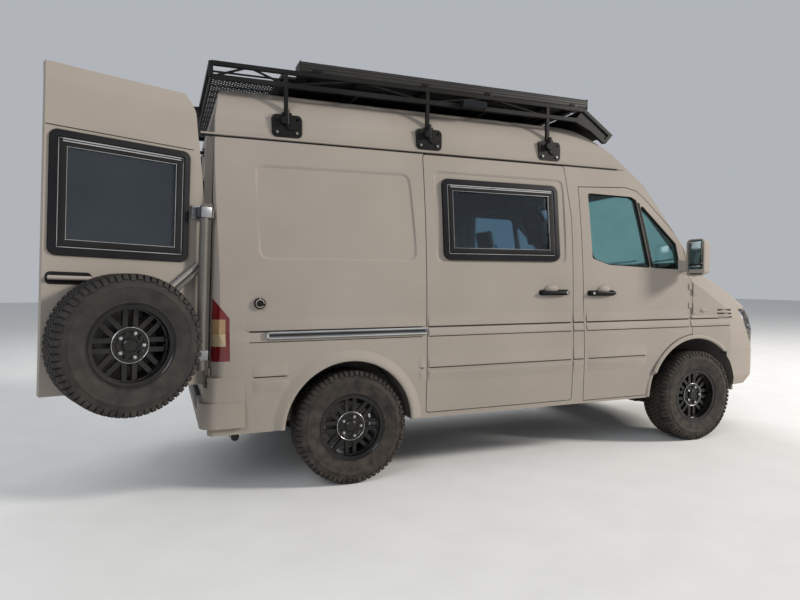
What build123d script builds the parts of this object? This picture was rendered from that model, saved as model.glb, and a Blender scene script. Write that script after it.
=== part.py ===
import os
from copy import deepcopy

from build123d import *

os.makedirs("parts", exist_ok=True)

# Driving dimensions, mm. X runs forward, Y to the left, Z up from the ground.
wheelbase = 3000.0
rear_axle_x = -1110.0
half_width = 966.0
upper_half_width = 958.0
tuck_in = 23.0
tuck_height = 737.0
belt_height = 956.0
upper_belt_height = 1022.0
sill_height = 397.0
gutter_height = 2203.0
gutter_half_width = 881.0
cap_crease_height = 2320.0
cap_crease_half_width = 868.0
roof_shoulder_height = 2560.0
roof_shoulder_half_width = 600.0
roof_height = 2612.0
wall = 55.0
bonnet_thickness = 25.0
glass_inset = 20.0
glass_thickness = 6.0
panel_gap = 6.0
seat_gap = 0.3
bead_gap = 0.9
running_gap = 5.0
floor_height = 700.0
floor_thickness = 55.0
side_reach = 1200.0
lip_rise = 8.0
lip_width = 32.0
recess_depth = 7.0

# Rear face: its foot, its lean and its corner radius.
rear_foot_x = -905.0
rear_lean = 0.0349
rear_corner_radius = 80.0

# Nose and cab plan curves.
nose_corner_x = 610.0
nose_flat_x = 110.0
nose_flat_half_width = 630.0
nose_radius = 130.0
screen_sag = 190.0
screen_corner_radius = 210.0
cowl_height = 1385.0
cab_split_x = 2445.0

# Wheels and tyres.
tyre_radius = 372.0
tyre_width = 245.0
tread_width = 205.0
tread_shoulder = 22.0
tread_sides = 36
lug_gap = 14.0
lug_depth = 9.0
lug_reach = 34.0
tyre_y = 825.0
bead_radius = 203.0
rim_inner_radius = 192.0
rim_width = 205.0
hub_face_y = 860.0
disc_thickness = 24.0
hub_bore_radius = 40.0
hub_ring_radius = 92.0
spoke_count = 8
spoke_width = 26.0
lug_count = 5
lug_circle_radius = 65.0
lug_radius = 11.0
kingpin_y = 735.0
kingpin_radius = 20.0
upper_arm_height = 500.0
lower_arm_height = 235.0
arm_thickness = 22.0

# Wheel arches, in stations from the rear axle.
rear_arch_x = -20.0
rear_arch_height = 385.0
rear_arch_radius = 428.0
front_arch_x = 2945.0
front_arch_height = 386.0
front_arch_radius = 470.0
liner_thickness = 20.0
rear_housing_y = 660.0
front_housing_y = 450.0
front_liner_x = 2975.0
front_liner_radius = 465.0

# Doors.
sliding_rear_x = 519.0
sliding_front_x = 1715.0
sliding_foot = 433.0
front_door_rear_x = 1830.0
front_door_foot = 420.0
front_door_front_x = 2906.0
rear_frame_width = 80.0
rear_door_foot = 705.0
rear_door_top = 2412.0
rear_door_open = 110.0
hinge_radius = 5.0
hinge_length = 45.0
rear_hinge_radius = 12.0
hinge_bite = 3.0
front_hinge_out = 10.0

# Tail lamps.
lamp_inner_y = 914.0
lamp_front_x = -776.0
lamp_foot = 846.0
lamp_top = 1250.0
lamp_slope_foot = 1102.0
lamp_apex_x = -890.0

# Spare wheel on the right rear door.
spare_reach = 516.0
spare_out = 172.0
spare_height = 985.0


def level(z):
    """A level plane whose zero lies over the rear axle."""
    return Plane(origin=(rear_axle_x, 0, z), x_dir=(1, 0, 0), z_dir=(0, 0, 1))


def side(y):
    """An upright plane along the vehicle that faces right."""
    return Plane(origin=(rear_axle_x, y, 0), x_dir=(1, 0, 0), z_dir=(0, -1, 0))


def across(x):
    """An upright plane across the vehicle that faces forward."""
    return Plane(origin=(rear_axle_x + x, 0, 0), x_dir=(0, 1, 0), z_dir=(1, 0, 0))


def rear_face_x(z):
    """Station of the rear face at a height."""
    return rear_foot_x + (z - sill_height) * rear_lean


def roof_rear_x(z):
    """The rear face curls forward over its top."""
    return rear_face_x(z) + max(0.0, z - 2480.0) * 1.2


# Body section, from the sill up over the high roof.
with BuildSketch(Plane.XY) as section:
    with BuildLine() as section_line:
        Polyline(
            (0, sill_height),
            (half_width - tuck_in, sill_height),
            (half_width, tuck_height),
            (half_width, belt_height),
            (upper_half_width, upper_belt_height),
        )
        ThreePointArc(
            (upper_half_width, upper_belt_height),
            (941, 1663),
            (gutter_half_width, gutter_height),
        )
        Line((gutter_half_width, gutter_height), (cap_crease_half_width, cap_crease_height))
        ThreePointArc(
            (cap_crease_half_width, cap_crease_height),
            (775, 2475),
            (roof_shoulder_half_width, roof_shoulder_height),
        )
        ThreePointArc(
            (roof_shoulder_half_width, roof_shoulder_height),
            (300, 2600),
            (0, roof_height),
        )
        Line((0, roof_height), (0, sill_height))
    make_face()
    mirror(about=Plane.YZ)

# Level sections: height and station of the front face.
nose_sections = [
    (sill_height - 1, 3940.0),
    (900.0, 3955.0),
    (1015.0, 3915.0),
    (1125.0, 3825.0),
    (1240.0, 3635.0),
    (cowl_height, 3350.0),
]
cab_sections = [
    (cowl_height, 3250.0),
    (2090.0, 2620.0),
    (2320.0, 2300.0),
    (2500.0, 1990.0),
    (roof_height + 1, 1650.0),
]


def nose_outline(z, rear_x, front_x, inset):
    """Level outline of the lower body: round back corners and a round nose."""
    side_y = half_width - inset
    front = front_x - inset
    flat_y = nose_flat_half_width - inset
    with BuildSketch(level(z)) as outline:
        with BuildLine():
            Polyline(
                (front - nose_flat_x, flat_y),
                (front - 2.4 * nose_flat_x, side_y - 66),
                (front - nose_corner_x, side_y),
                (rear_x + inset, side_y),
                (rear_x + inset, -side_y),
                (front - nose_corner_x, -side_y),
                (front - 2.4 * nose_flat_x, -side_y + 66),
                (front - nose_flat_x, -flat_y),
            )
            ThreePointArc(
                (front - nose_flat_x, -flat_y),
                (front, 0),
                (front - nose_flat_x, flat_y),
            )
        make_face()
        fillet(outline.vertices().sort_by(Axis.X)[0:2], rear_corner_radius)
        fillet(outline.vertices().sort_by(Axis.X)[-6:], nose_radius)
    return outline.sketch


def cab_outline(z, rear_x, front_x, inset):
    """Level outline of the cab: round back corners and a bowed screen."""
    side_y = half_width - inset
    front = front_x - inset
    with BuildSketch(level(z)) as outline:
        with BuildLine():
            Polyline(
                (front - screen_sag, side_y),
                (rear_x + inset, side_y),
                (rear_x + inset, -side_y),
                (front - screen_sag, -side_y),
            )
            ThreePointArc(
                (front - screen_sag, -side_y),
                (front, 0),
                (front - screen_sag, side_y),
            )
        make_face()
        fillet(outline.vertices().sort_by(Axis.X)[0:2], rear_corner_radius)
        fillet(outline.vertices().sort_by(Axis.X)[-2:], screen_corner_radius)
    return outline.sketch


def body_form(inset):
    """The closed form of the body, with every wall moved in by the inset."""
    with BuildPart() as nose:
        loft([nose_outline(z, rear_face_x(z), x, inset) for z, x in nose_sections], ruled=True)
    with BuildPart() as cab:
        loft([cab_outline(z, roof_rear_x(z), x, inset) for z, x in cab_sections], ruled=True)
    with BuildPart() as plan:
        add(nose.part)
        add(cab.part)
    with BuildPart() as form:
        with BuildSketch(across(-1500)):
            add(section.sketch)
            if inset:
                offset(amount=-inset, kind=Kind.INTERSECTION)
            if inset > 0:
                with Locations((0, sill_height)):
                    Rectangle(2 * (half_width - tuck_in - inset), 3 * inset)
        extrude(amount=6000)
        add(plan.part, mode=Mode.INTERSECT)
    return form.part


outer = body_form(0)
inner = body_form(wall)
glass_face = body_form(glass_inset)
glass_back = body_form(glass_inset + glass_thickness)
lip_face = body_form(-lip_rise)
recess_face = body_form(recess_depth)

with BuildPart() as shell:
    add(deepcopy(outer))
    add(deepcopy(inner), mode=Mode.SUBTRACT)

with BuildPart() as glass_shell:
    add(deepcopy(glass_face))
    add(deepcopy(glass_back), mode=Mode.SUBTRACT)

with BuildPart() as lip_shell:
    add(lip_face)
    add(deepcopy(inner), mode=Mode.SUBTRACT)

with BuildPart() as recess_shell:
    add(body_form(-1))
    add(recess_face, mode=Mode.SUBTRACT)


def outline_of(points, radius=0.0):
    """A side outline from corner points, in stations from the rear axle."""
    with BuildSketch() as sketch:
        with BuildLine():
            Polyline(*points, close=True)
        make_face()
        if radius > 0:
            fillet(sketch.vertices(), radius)
    return sketch.sketch


def through(outline, hand, growth=0.0):
    """A block with a side outline, from the middle out past one side."""
    with BuildPart() as block:
        with BuildSketch(side(-hand * 400)):
            add(outline)
            if growth:
                offset(amount=growth, kind=Kind.INTERSECTION)
        extrude(amount=hand * (side_reach - 400))
    return block.part


def arch_outline(x, z, radius):
    """A wheel opening: a round top with straight sides down to the road."""
    with BuildSketch() as sketch:
        with Locations((x, z)):
            Circle(radius)
        with Locations((x, z - radius / 2)):
            Rectangle(2 * radius, radius)
    return sketch.sketch


def box_between(low, high):
    """A square block between two corners, in stations from the rear axle."""
    with BuildPart() as block:
        with BuildSketch(level(low[2])):
            with Locations(((low[0] + high[0]) / 2, (low[1] + high[1]) / 2)):
                Rectangle(high[0] - low[0], abs(high[1] - low[1]))
        extrude(amount=high[2] - low[2])
    return block.part


def lug_between(start, end, radius, toward, inward, reach, leaf, bite):
    """A hinge barrel from start to end with a flat leaf let into the panel it lies on."""
    run = Vector(*end) - Vector(*start)
    origin = Vector(*start) + Vector(rear_axle_x, 0, 0)
    place = Plane(origin=origin, x_dir=toward, z_dir=run)
    sign = 1 if place.y_dir.dot(Vector(*inward)) > 0 else -1
    with BuildPart() as lug:
        with BuildSketch(place):
            Circle(radius)
            with Locations((reach / 2, sign * (radius + bite - leaf / 2))):
                Rectangle(reach, leaf)
        extrude(amount=run.length)
    return lug.part


def hinge_set(foot, along, radius, frame_side, door_side, inward, reach, leaf, bite=hinge_bite):
    """Both halves of a hinge, each with the room that the other side leaves for it."""
    foot = Vector(*foot)
    along = Vector(*along).normalized()
    joint = foot + along * hinge_length
    head = foot + along * 2 * hinge_length
    wide = radius + running_gap
    full = 2 * wide
    low = foot - along * running_gap
    high = head + along * running_gap
    return {
        "frame": lug_between(foot, joint, radius, frame_side, inward, reach, leaf, bite),
        "door": lug_between(
            joint + along * seat_gap, head, radius, door_side, inward, reach, leaf, bite
        ),
        "room_in_door": lug_between(low, joint, wide, frame_side, inward, reach, full, bite),
        "room_in_frame": lug_between(joint, high, wide, door_side, inward, reach, full, bite),
    }


def bar_along(points, width):
    """A square bar with mitred corners along a line of points, in stations."""
    with BuildPart() as bar:
        with BuildLine() as run:
            Polyline(*[(rear_axle_x + x, y, z) for x, y, z in points])
        with BuildSketch(Plane(origin=run.line @ 0, x_dir=(0, 1, 0), z_dir=run.line % 0)):
            Rectangle(width, width)
        sweep(transition=Transition.RIGHT)
    return bar.part


def bar_between(start, end, width):
    """A straight square bar between two points, in stations."""
    first = Vector(*start) + Vector(rear_axle_x, 0, 0)
    run = Vector(*end) - Vector(*start)
    with BuildPart() as bar:
        with BuildSketch(Plane(origin=first, z_dir=run)):
            Rectangle(width, width)
        extrude(amount=run.length)
    return bar.part


def tube_between(start, end, radius):
    """A straight round tube between two points, in stations."""
    first = Vector(*start) + Vector(rear_axle_x, 0, 0)
    run = Vector(*end) - Vector(*start)
    with BuildPart() as tube:
        with BuildSketch(Plane(origin=first, z_dir=run)):
            Circle(radius)
        extrude(amount=run.length)
    return tube.part


# Side outlines of the openings.
rear_arch = arch_outline(rear_arch_x, rear_arch_height, rear_arch_radius)
front_arch = arch_outline(front_arch_x, front_arch_height, front_arch_radius)
with BuildSketch() as front_door_sketch:
    with BuildLine():
        Polyline(
            (front_door_rear_x, front_door_foot),
            (front_door_rear_x - 30, 2040),
            (2254, 2060),
            (2354, 2040),
            (2430, 1985),
            (2800, 1650),
            (2868, 1370),
            (front_door_front_x, 1310),
            (front_door_front_x, front_door_foot),
            close=True,
        )
    make_face()
    with Locations((front_arch_x, front_arch_height)):
        Circle(front_arch_radius + lip_width + panel_gap, mode=Mode.SUBTRACT)
    with Locations((front_arch_x, front_arch_height - 250)):
        Rectangle(2 * (front_arch_radius + lip_width + panel_gap), 500, mode=Mode.SUBTRACT)
front_door_outline = front_door_sketch.sketch
door_glass_outline = outline_of(
    [(1900, 1500), (1882, 2000), (2300, 1992), (2352, 1968), (2468, 1432), (2060, 1452)],
    20,
)
quarter_glass_outline = outline_of([(2383, 1950), (2740, 1630), (2782, 1422), (2498, 1431)], 16)
sliding_door_outline = outline_of(
    [
        (sliding_rear_x, sliding_foot),
        (sliding_rear_x, gutter_height - 12),
        (sliding_front_x - 40, gutter_height - 12),
        (sliding_front_x, 1800),
        (sliding_front_x, sliding_foot),
    ],
    20,
)
sliding_window_outline = outline_of([(650, 1478), (650, 2030), (1592, 2030), (1592, 1478)], 45)
door_recess_outline = outline_of([(588, 1452), (588, 2088), (1660, 2088), (1660, 1452)], 50)
rear_recess_outline = outline_of([(-600, 1456), (-616, 2042), (412, 2052), (452, 1456)], 60)
lip_sketches = {}
for key, x, z, radius in (
    ("rear", rear_arch_x, rear_arch_height, rear_arch_radius),
    ("front", front_arch_x, front_arch_height, front_arch_radius),
):
    with BuildSketch() as lip_sketch:
        with Locations((x, z)):
            Circle(radius + lip_width)
            Circle(radius - 1, mode=Mode.SUBTRACT)
        with Locations((x, sill_height - 300)):
            Rectangle(1200, 600, mode=Mode.SUBTRACT)
    lip_sketches[key] = lip_sketch.sketch


def lip_at(key, hand):
    """The raised lip round a wheel opening, on one side."""
    with BuildPart() as lip:
        add(deepcopy(lip_shell.part))
        add(through(lip_sketches[key], hand), mode=Mode.INTERSECT)
    return lip.part


def recess_in(outline, hand):
    """What a pressed recess takes off the skin inside a side outline."""
    with BuildPart() as recess:
        add(deepcopy(recess_shell.part))
        add(through(outline, hand), mode=Mode.INTERSECT)
    return recess.part


# The rear opening follows the body section inside a frame.
with BuildSketch() as rear_opening:
    add(section.sketch)
    offset(amount=-rear_frame_width, kind=Kind.INTERSECTION)
    with Locations((0, (rear_door_foot + rear_door_top) / 2)):
        Rectangle(2400, rear_door_top - rear_door_foot + 2 * panel_gap, mode=Mode.INTERSECT)
with BuildSketch() as rear_door_sketch:
    add(rear_opening.sketch)
    offset(amount=-panel_gap, kind=Kind.INTERSECTION)
with BuildPart() as rear_passage:
    with BuildSketch(across(-1300)):
        add(rear_opening.sketch)
    extrude(amount=600)

# Hinge places: station, side and height.
front_hinge_x = front_door_front_x + panel_gap / 2
front_hinge_y = upper_half_width + front_hinge_out
front_hinge_heights = (1060.0, 1215.0)
rear_hinge_y = half_width - rear_frame_width - panel_gap / 2
rear_hinge_heights = (760.0, 1700.0)


def rear_hinge_point(z, hand):
    """A point on the rear door's hinge line, just behind the rear face."""
    return (rear_face_x(z) - rear_hinge_radius, -hand * rear_hinge_y, z)


def lamp_block(hand, growth=0.0):
    """The room of a tail lamp at the rear corner, grown all round."""
    with BuildPart() as block:
        with BuildSketch(side(-hand * (lamp_inner_y - growth))):
            with BuildLine():
                Polyline(
                    (-1100, lamp_foot),
                    (lamp_front_x, lamp_foot),
                    (lamp_front_x, lamp_slope_foot),
                    (lamp_apex_x, lamp_top),
                    (-1100, lamp_top),
                    close=True,
                )
            make_face()
            if growth:
                offset(amount=growth, kind=Kind.INTERSECTION)
        extrude(amount=hand * 200)
    return block.part


# Side walls and front doors.
mirror_x = 2782.0
mirror_rim = 18.0
mirror_y = 1095.0
mirror_height = 1516.0
cab_hinges = []
door_hinges = {}
for name, hand in (("right", 1), ("left", -1)):
    front_hinges = [
        hinge_set(
            (front_hinge_x, -hand * front_hinge_y, z), (0, 0, 1), hinge_radius,
            (1, 0, 0), (-1, 0, 0), (0, hand, 0), 40, front_hinge_out, front_hinge_out - 2,
        )
        for z in front_hinge_heights
    ]
    rear_hinges = [
        hinge_set(
            rear_hinge_point(z, hand), (rear_lean, 0, 1), rear_hinge_radius,
            (0, -hand, 0), (0, hand, 0), (1, 0, 0), 45, 9,
        )
        for z in rear_hinge_heights
    ]
    cab_hinges += front_hinges
    door_hinges[name] = rear_hinges

    with BuildPart() as side_wall:
        add(deepcopy(shell.part))
        low_y, high_y = sorted((-600 * hand, -1100 * hand))
        add(
            box_between((-1100, low_y, sill_height - 1), (cab_split_x, high_y, gutter_height)),
            mode=Mode.INTERSECT,
        )
        add(recess_in(rear_recess_outline, hand), mode=Mode.SUBTRACT)
        if name == "left":
            add(recess_in(door_recess_outline, hand), mode=Mode.SUBTRACT)
        add(lip_at("rear", hand))
        add(through(rear_arch, hand), mode=Mode.SUBTRACT)
        add(through(front_door_outline, hand, panel_gap), mode=Mode.SUBTRACT)
        if name == "right":
            add(through(sliding_door_outline, hand, panel_gap), mode=Mode.SUBTRACT)
        add(deepcopy(rear_passage.part), mode=Mode.SUBTRACT)
        add(
            box_between((-1100, -860, sill_height - 2), (-700, 860, rear_door_foot)),
            mode=Mode.SUBTRACT,
        )
        add(lamp_block(hand, seat_gap), mode=Mode.SUBTRACT)
        for hinge in rear_hinges:
            add(hinge["room_in_frame"], mode=Mode.SUBTRACT)
            add(hinge["frame"])
    side_wall.part.label = "side_wall_" + name
    export_step(side_wall.part, "parts/side_wall_" + name + ".step")

    with BuildPart() as front_door:
        add(deepcopy(shell.part))
        add(through(front_door_outline, hand), mode=Mode.INTERSECT)
        add(through(door_glass_outline, hand), mode=Mode.SUBTRACT)
        add(through(quarter_glass_outline, hand), mode=Mode.SUBTRACT)
        for hinge in front_hinges:
            add(hinge["room_in_door"], mode=Mode.SUBTRACT)
            add(hinge["door"])
    front_door.part.label = "front_door_" + name
    export_step(front_door.part, "parts/front_door_" + name + ".step")

    with BuildPart() as panes:
        add(through(door_glass_outline, hand, -seat_gap))
        add(through(quarter_glass_outline, hand, -seat_gap))
    with BuildPart() as door_glass:
        add(deepcopy(glass_shell.part))
        add(panes.part, mode=Mode.INTERSECT)
    door_glass.part.label = "door_glass_" + name
    export_step(door_glass.part, "parts/door_glass_" + name + ".step")

    with BuildPart() as mirror_piece:
        with BuildSketch(across(mirror_x + mirror_rim)):
            with Locations((-hand * mirror_y, mirror_height)):
                RectangleRounded(170, 290, 40)
        extrude(amount=65, taper=16)
        with BuildSketch(across(mirror_x)):
            with Locations((-hand * mirror_y, mirror_height)):
                RectangleRounded(170, 290, 40)
                RectangleRounded(150, 270, 30, mode=Mode.SUBTRACT)
        extrude(amount=mirror_rim)
        with BuildSketch(side(-hand * 900)):
            with Locations((mirror_x - 7, 1450)):
                Rectangle(96, 120)
        with BuildSketch(side(-hand * (mirror_y - 75))):
            with Locations((mirror_x + 35, 1455)):
                Rectangle(50, 60)
        loft()
        add(deepcopy(outer), mode=Mode.SUBTRACT)
    mirror_piece.part.label = "mirror_" + name
    export_step(mirror_piece.part, "parts/mirror_" + name + ".step")

with BuildPart() as sliding_door:
    add(deepcopy(shell.part))
    add(through(sliding_door_outline, 1), mode=Mode.INTERSECT)
    add(recess_in(door_recess_outline, 1), mode=Mode.SUBTRACT)
    add(through(sliding_window_outline, 1), mode=Mode.SUBTRACT)
sliding_door.part.label = "sliding_door"
export_step(sliding_door.part, "parts/sliding_door.step")

with BuildPart() as sliding_window:
    add(deepcopy(glass_shell.part))
    add(through(sliding_window_outline, 1, -seat_gap), mode=Mode.INTERSECT)
sliding_window.part.label = "sliding_window"
export_step(sliding_window.part, "parts/sliding_window.step")

with BuildPart() as slide_rail:
    add(box_between(
        (-560, -half_width - 12, 972), (sliding_rear_x - running_gap, -upper_half_width + 20, 1016)
    ))
    add(body_form(-seat_gap), mode=Mode.SUBTRACT)
    add(
        box_between((-545, -half_width - 20, 986), (sliding_rear_x - 12, -half_width - 4, 1002)),
        mode=Mode.SUBTRACT,
    )
slide_rail.part.label = "slide_rail"
export_step(slide_rail.part, "parts/slide_rail.step")

# High roof with its drip rail.
with BuildPart() as gutter:
    add(deepcopy(lip_shell.part))
    add(
        box_between((-1500, -1100, gutter_height + seat_gap), (2250, 1100, gutter_height + 16)),
        mode=Mode.INTERSECT,
    )
with BuildPart() as roof:
    add(deepcopy(shell.part))
    add(
        box_between((-1500, -1100, gutter_height + seat_gap), (4000, 1100, roof_height + 50)),
        mode=Mode.INTERSECT,
    )
    add(gutter.part)
    add(deepcopy(rear_passage.part), mode=Mode.SUBTRACT)
roof.part.label = "high_roof"
export_step(roof.part, "parts/high_roof.step")

# Cab front: fenders, pillars, cowl and screen frame.
bonnet_foot = 1012.0
bumper_top = 735.0
with BuildSketch() as screen_outline:
    with BuildLine():
        Polyline((-770, 1440), (-690, 2110), (690, 2110), (770, 1440), close=True)
    make_face()
    fillet(screen_outline.vertices(), 60)
bonnet_rear_x = 3270.0
with BuildSketch() as bonnet_outline:
    with BuildLine():
        Polyline(
            (bonnet_rear_x, -740),
            (bonnet_rear_x, 740),
            (3700, 680),
            (4000, 560),
            (4000, -560),
            (3700, -680),
            close=True,
        )
    make_face()
bonnet_hinges = [
    hinge_set(
        (bonnet_rear_x - panel_gap / 2, y, cowl_height + hinge_bite), (0, 1, 0), hinge_radius,
        (-1, 0, 0), (1, 0, 0), (0, 0, -1), 30, 5,
    )
    for y in (-480, 390)
]
grille_box = ((3700, 0, 850), (4100, 430, 1000))
vent_outlines = [
    outline_of([(3190, z), (3366, z - 4), (3366, z + 10), (3190, z + 14)])
    for z in (1020, 1050, 1080)
]


def front_block(low, high, hand, growth=0.0):
    """A block at the nose, on one side, grown all round."""
    low_y, high_y = sorted((-hand * (low[1] - growth), -hand * (high[1] + growth)))
    return box_between(
        (low[0] - growth, low_y, low[2] - growth), (high[0] + growth, high_y, high[2] + growth)
    )


# Front view of a headlamp: distance from the middle and height.
headlamp_front = [(452, 860), (452, 985), (700, 1082), (1100, 1092), (1100, 800), (640, 800)]


def headlamp_block(hand, growth=0.0):
    """The room of a headlamp: swept back in side view and pointed inward in front view."""
    with BuildPart() as block:
        with BuildSketch(side(-hand * 400)):
            with BuildLine():
                Polyline((3470, 1092), (3640, 800), (4200, 800), (4200, 1092), close=True)
            make_face()
            if growth:
                offset(amount=growth, kind=Kind.INTERSECTION)
        extrude(amount=hand * 700)
        with BuildSketch(across(3300)):
            with BuildLine():
                Polyline(*[(-hand * y, z) for y, z in headlamp_front], close=True)
            make_face()
            if growth:
                offset(amount=growth, kind=Kind.INTERSECTION)
        extrude(amount=1000, mode=Mode.INTERSECT)
    return block.part


with BuildPart() as front_lips:
    for hand in (1, -1):
        add(lip_at("front", hand))
    add(box_between((2200, -1100, bumper_top), (4100, 1100, 1400)), mode=Mode.INTERSECT)
with BuildPart() as cab_front:
    add(deepcopy(shell.part))
    add(box_between((2200, -1100, bumper_top), (4100, 1100, gutter_height)), mode=Mode.INTERSECT)
    for hand in (1, -1):
        low_y, high_y = sorted((-600 * hand, -1100 * hand))
        add(
            box_between((2100, low_y, sill_height), (cab_split_x + seat_gap, high_y, gutter_height + 1)),
            mode=Mode.SUBTRACT,
        )
    add(front_lips.part)
    for hand in (1, -1):
        add(through(front_arch, hand), mode=Mode.SUBTRACT)
        add(through(front_door_outline, hand, panel_gap), mode=Mode.SUBTRACT)
    with BuildSketch(across(2400)):
        add(screen_outline.sketch)
    extrude(amount=1500, mode=Mode.SUBTRACT)
    with BuildSketch(level(bonnet_foot - panel_gap)):
        add(bonnet_outline.sketch)
        offset(amount=panel_gap, kind=Kind.INTERSECTION)
    extrude(amount=600, mode=Mode.SUBTRACT)
    for hand in (1, -1):
        add(headlamp_block(hand, seat_gap), mode=Mode.SUBTRACT)
        add(front_block(*grille_box, hand, seat_gap), mode=Mode.SUBTRACT)
        for outline in vent_outlines:
            add(recess_in(outline, hand), mode=Mode.SUBTRACT)
    for hinge in cab_hinges + bonnet_hinges:
        add(hinge["room_in_frame"], mode=Mode.SUBTRACT)
        add(hinge["frame"])
cab_front.part.label = "cab_front"
export_step(cab_front.part, "parts/cab_front.step")

with BuildPart() as windscreen:
    add(deepcopy(glass_shell.part))
    with BuildSketch(across(2400)):
        add(screen_outline.sketch)
        offset(amount=-seat_gap, kind=Kind.INTERSECTION)
    extrude(amount=1500, mode=Mode.INTERSECT)
windscreen.part.label = "windscreen"
export_step(windscreen.part, "parts/windscreen.step")

bonnet_inner = body_form(bonnet_thickness)
with BuildPart() as bonnet:
    add(deepcopy(outer))
    add(bonnet_inner, mode=Mode.SUBTRACT)
    with BuildSketch(level(bonnet_foot)):
        add(bonnet_outline.sketch)
    extrude(amount=600, mode=Mode.INTERSECT)
    add(box_between((3000, -1000, bonnet_foot), (4000, 1000, cowl_height)), mode=Mode.INTERSECT)
    for hand in (1, -1):
        add(headlamp_block(hand, panel_gap), mode=Mode.SUBTRACT)
    for hinge in bonnet_hinges:
        add(hinge["room_in_door"], mode=Mode.SUBTRACT)
        add(hinge["door"])
bonnet.part.label = "bonnet"
export_step(bonnet.part, "parts/bonnet.step")

# Floor with the rear wheel housings.
floor_front_x = front_liner_x - front_liner_radius - liner_thickness - 10
floor_rear_x = rear_face_x(floor_height) + wall + panel_gap
within_walls = body_form(wall + seat_gap)
with BuildPart() as rear_sill:
    add(deepcopy(shell.part))
    add(
        box_between(
            (-1100, -860 + seat_gap, 500), (floor_rear_x + 1, 860 - seat_gap, rear_door_foot - panel_gap)
        ),
        mode=Mode.INTERSECT,
    )
    add(box_between(
        (rear_face_x(sill_height) + wall, -860 + seat_gap, floor_height - floor_thickness),
        (floor_rear_x + 30, 860 - seat_gap, rear_door_foot - panel_gap - 1),
    ))
with BuildPart() as floor:
    add(box_between(
        (floor_rear_x, -half_width, floor_height - floor_thickness),
        (floor_front_x, half_width, floor_height),
    ))
    for hand in (1, -1):
        with BuildSketch(side(-hand * rear_housing_y)):
            with Locations((rear_arch_x, rear_arch_height)):
                Circle(rear_arch_radius + liner_thickness)
                Rectangle(
                    2 * (rear_arch_radius + liner_thickness),
                    rear_arch_radius + liner_thickness,
                    align=(Align.CENTER, Align.MAX),
                    mode=Mode.SUBTRACT,
                )
        extrude(amount=hand * (half_width - rear_housing_y))
    for hand in (1, -1):
        with BuildSketch(side(-hand * (rear_housing_y + liner_thickness))):
            add(rear_arch)
        extrude(amount=hand * 400, mode=Mode.SUBTRACT)
    add(box_between((-70, -1000, 300), (70, 1000, 435)), mode=Mode.SUBTRACT)
    add(deepcopy(within_walls), mode=Mode.INTERSECT)
    add(box_between((-70, -1000, 300), (70, 1000, 435)), mode=Mode.SUBTRACT)
    for low_y, high_y in ((-1000, -895), (895, 1000)):
        add(
            box_between((front_door_rear_x - 20, low_y, 500), (3000, high_y, 900)),
            mode=Mode.SUBTRACT,
        )
    add(rear_sill.part)
floor.part.label = "floor"
export_step(floor.part, "parts/floor.step")

# Firewall, footwell and front wheel liners.
firewall_x = 3020.0
liner_outer_y = half_width - wall - running_gap - 10
with BuildPart() as firewall:
    with BuildSketch(side(front_housing_y)):
        with BuildLine():
            Polyline(
                (floor_front_x + seat_gap, floor_height),
                (floor_front_x + seat_gap, floor_height - floor_thickness),
                (2680, floor_height - floor_thickness),
                (firewall_x + wall, 860),
                (firewall_x + wall, 1320),
                (firewall_x, 1320),
                (firewall_x, 890),
                (2650, floor_height),
                close=True,
            )
        make_face()
    extrude(amount=2 * front_housing_y)
    for hand in (1, -1):
        with BuildSketch(side(-hand * front_housing_y)):
            with Locations((front_liner_x, front_arch_height)):
                Circle(front_liner_radius + liner_thickness)
                Rectangle(
                    2 * (front_liner_radius + liner_thickness),
                    front_liner_radius + liner_thickness,
                    align=(Align.CENTER, Align.MAX),
                    mode=Mode.SUBTRACT,
                )
        extrude(amount=hand * (liner_outer_y - front_housing_y))
        with BuildSketch(side(-hand * (front_housing_y + liner_thickness))):
            with Locations((front_liner_x, front_arch_height)):
                Circle(front_liner_radius)
        extrude(amount=hand * 600, mode=Mode.SUBTRACT)
    add(
        box_between((wheelbase - 125, -1000, 380), (wheelbase + 125, 1000, upper_arm_height + 45)),
        mode=Mode.SUBTRACT,
    )
firewall.part.label = "firewall"
export_step(firewall.part, "parts/firewall.step")

# Bumpers.
front_bumper_foot = 440.0
with BuildPart() as bumper_hollow:
    loft(
        [
            nose_outline(front_bumper_foot - 1, 2700, 3890, wall),
            nose_outline(bumper_top + 1, 2700, 3930, wall),
        ],
        ruled=True,
    )
with BuildPart() as front_bumper:
    loft(
        [
            nose_outline(front_bumper_foot, 2900, 3870, 0),
            nose_outline(front_bumper_foot + 70, 2900, 3950, 0),
            nose_outline(bumper_top - seat_gap, 2900, 3955, 0),
        ],
        ruled=True,
    )
    add(bumper_hollow.part, mode=Mode.SUBTRACT)
    for hand in (1, -1):
        with BuildSketch(side(-hand * 400)):
            with Locations((front_liner_x, front_arch_height)):
                Circle(front_liner_radius + liner_thickness + seat_gap)
        extrude(amount=hand * (liner_outer_y + seat_gap - 400), mode=Mode.SUBTRACT)
        add(through(front_arch, hand), mode=Mode.SUBTRACT)
    add(box_between((2800, -1100, 400), (3300, 1100, 800)), mode=Mode.SUBTRACT)
    for low_z, high_z in ((512, 548), (568, 604)):
        add(box_between((3700, -420, low_z), (4100, 420, high_z)), mode=Mode.SUBTRACT)
front_bumper.part.label = "front_bumper"
export_step(front_bumper.part, "parts/front_bumper.step")

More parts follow.
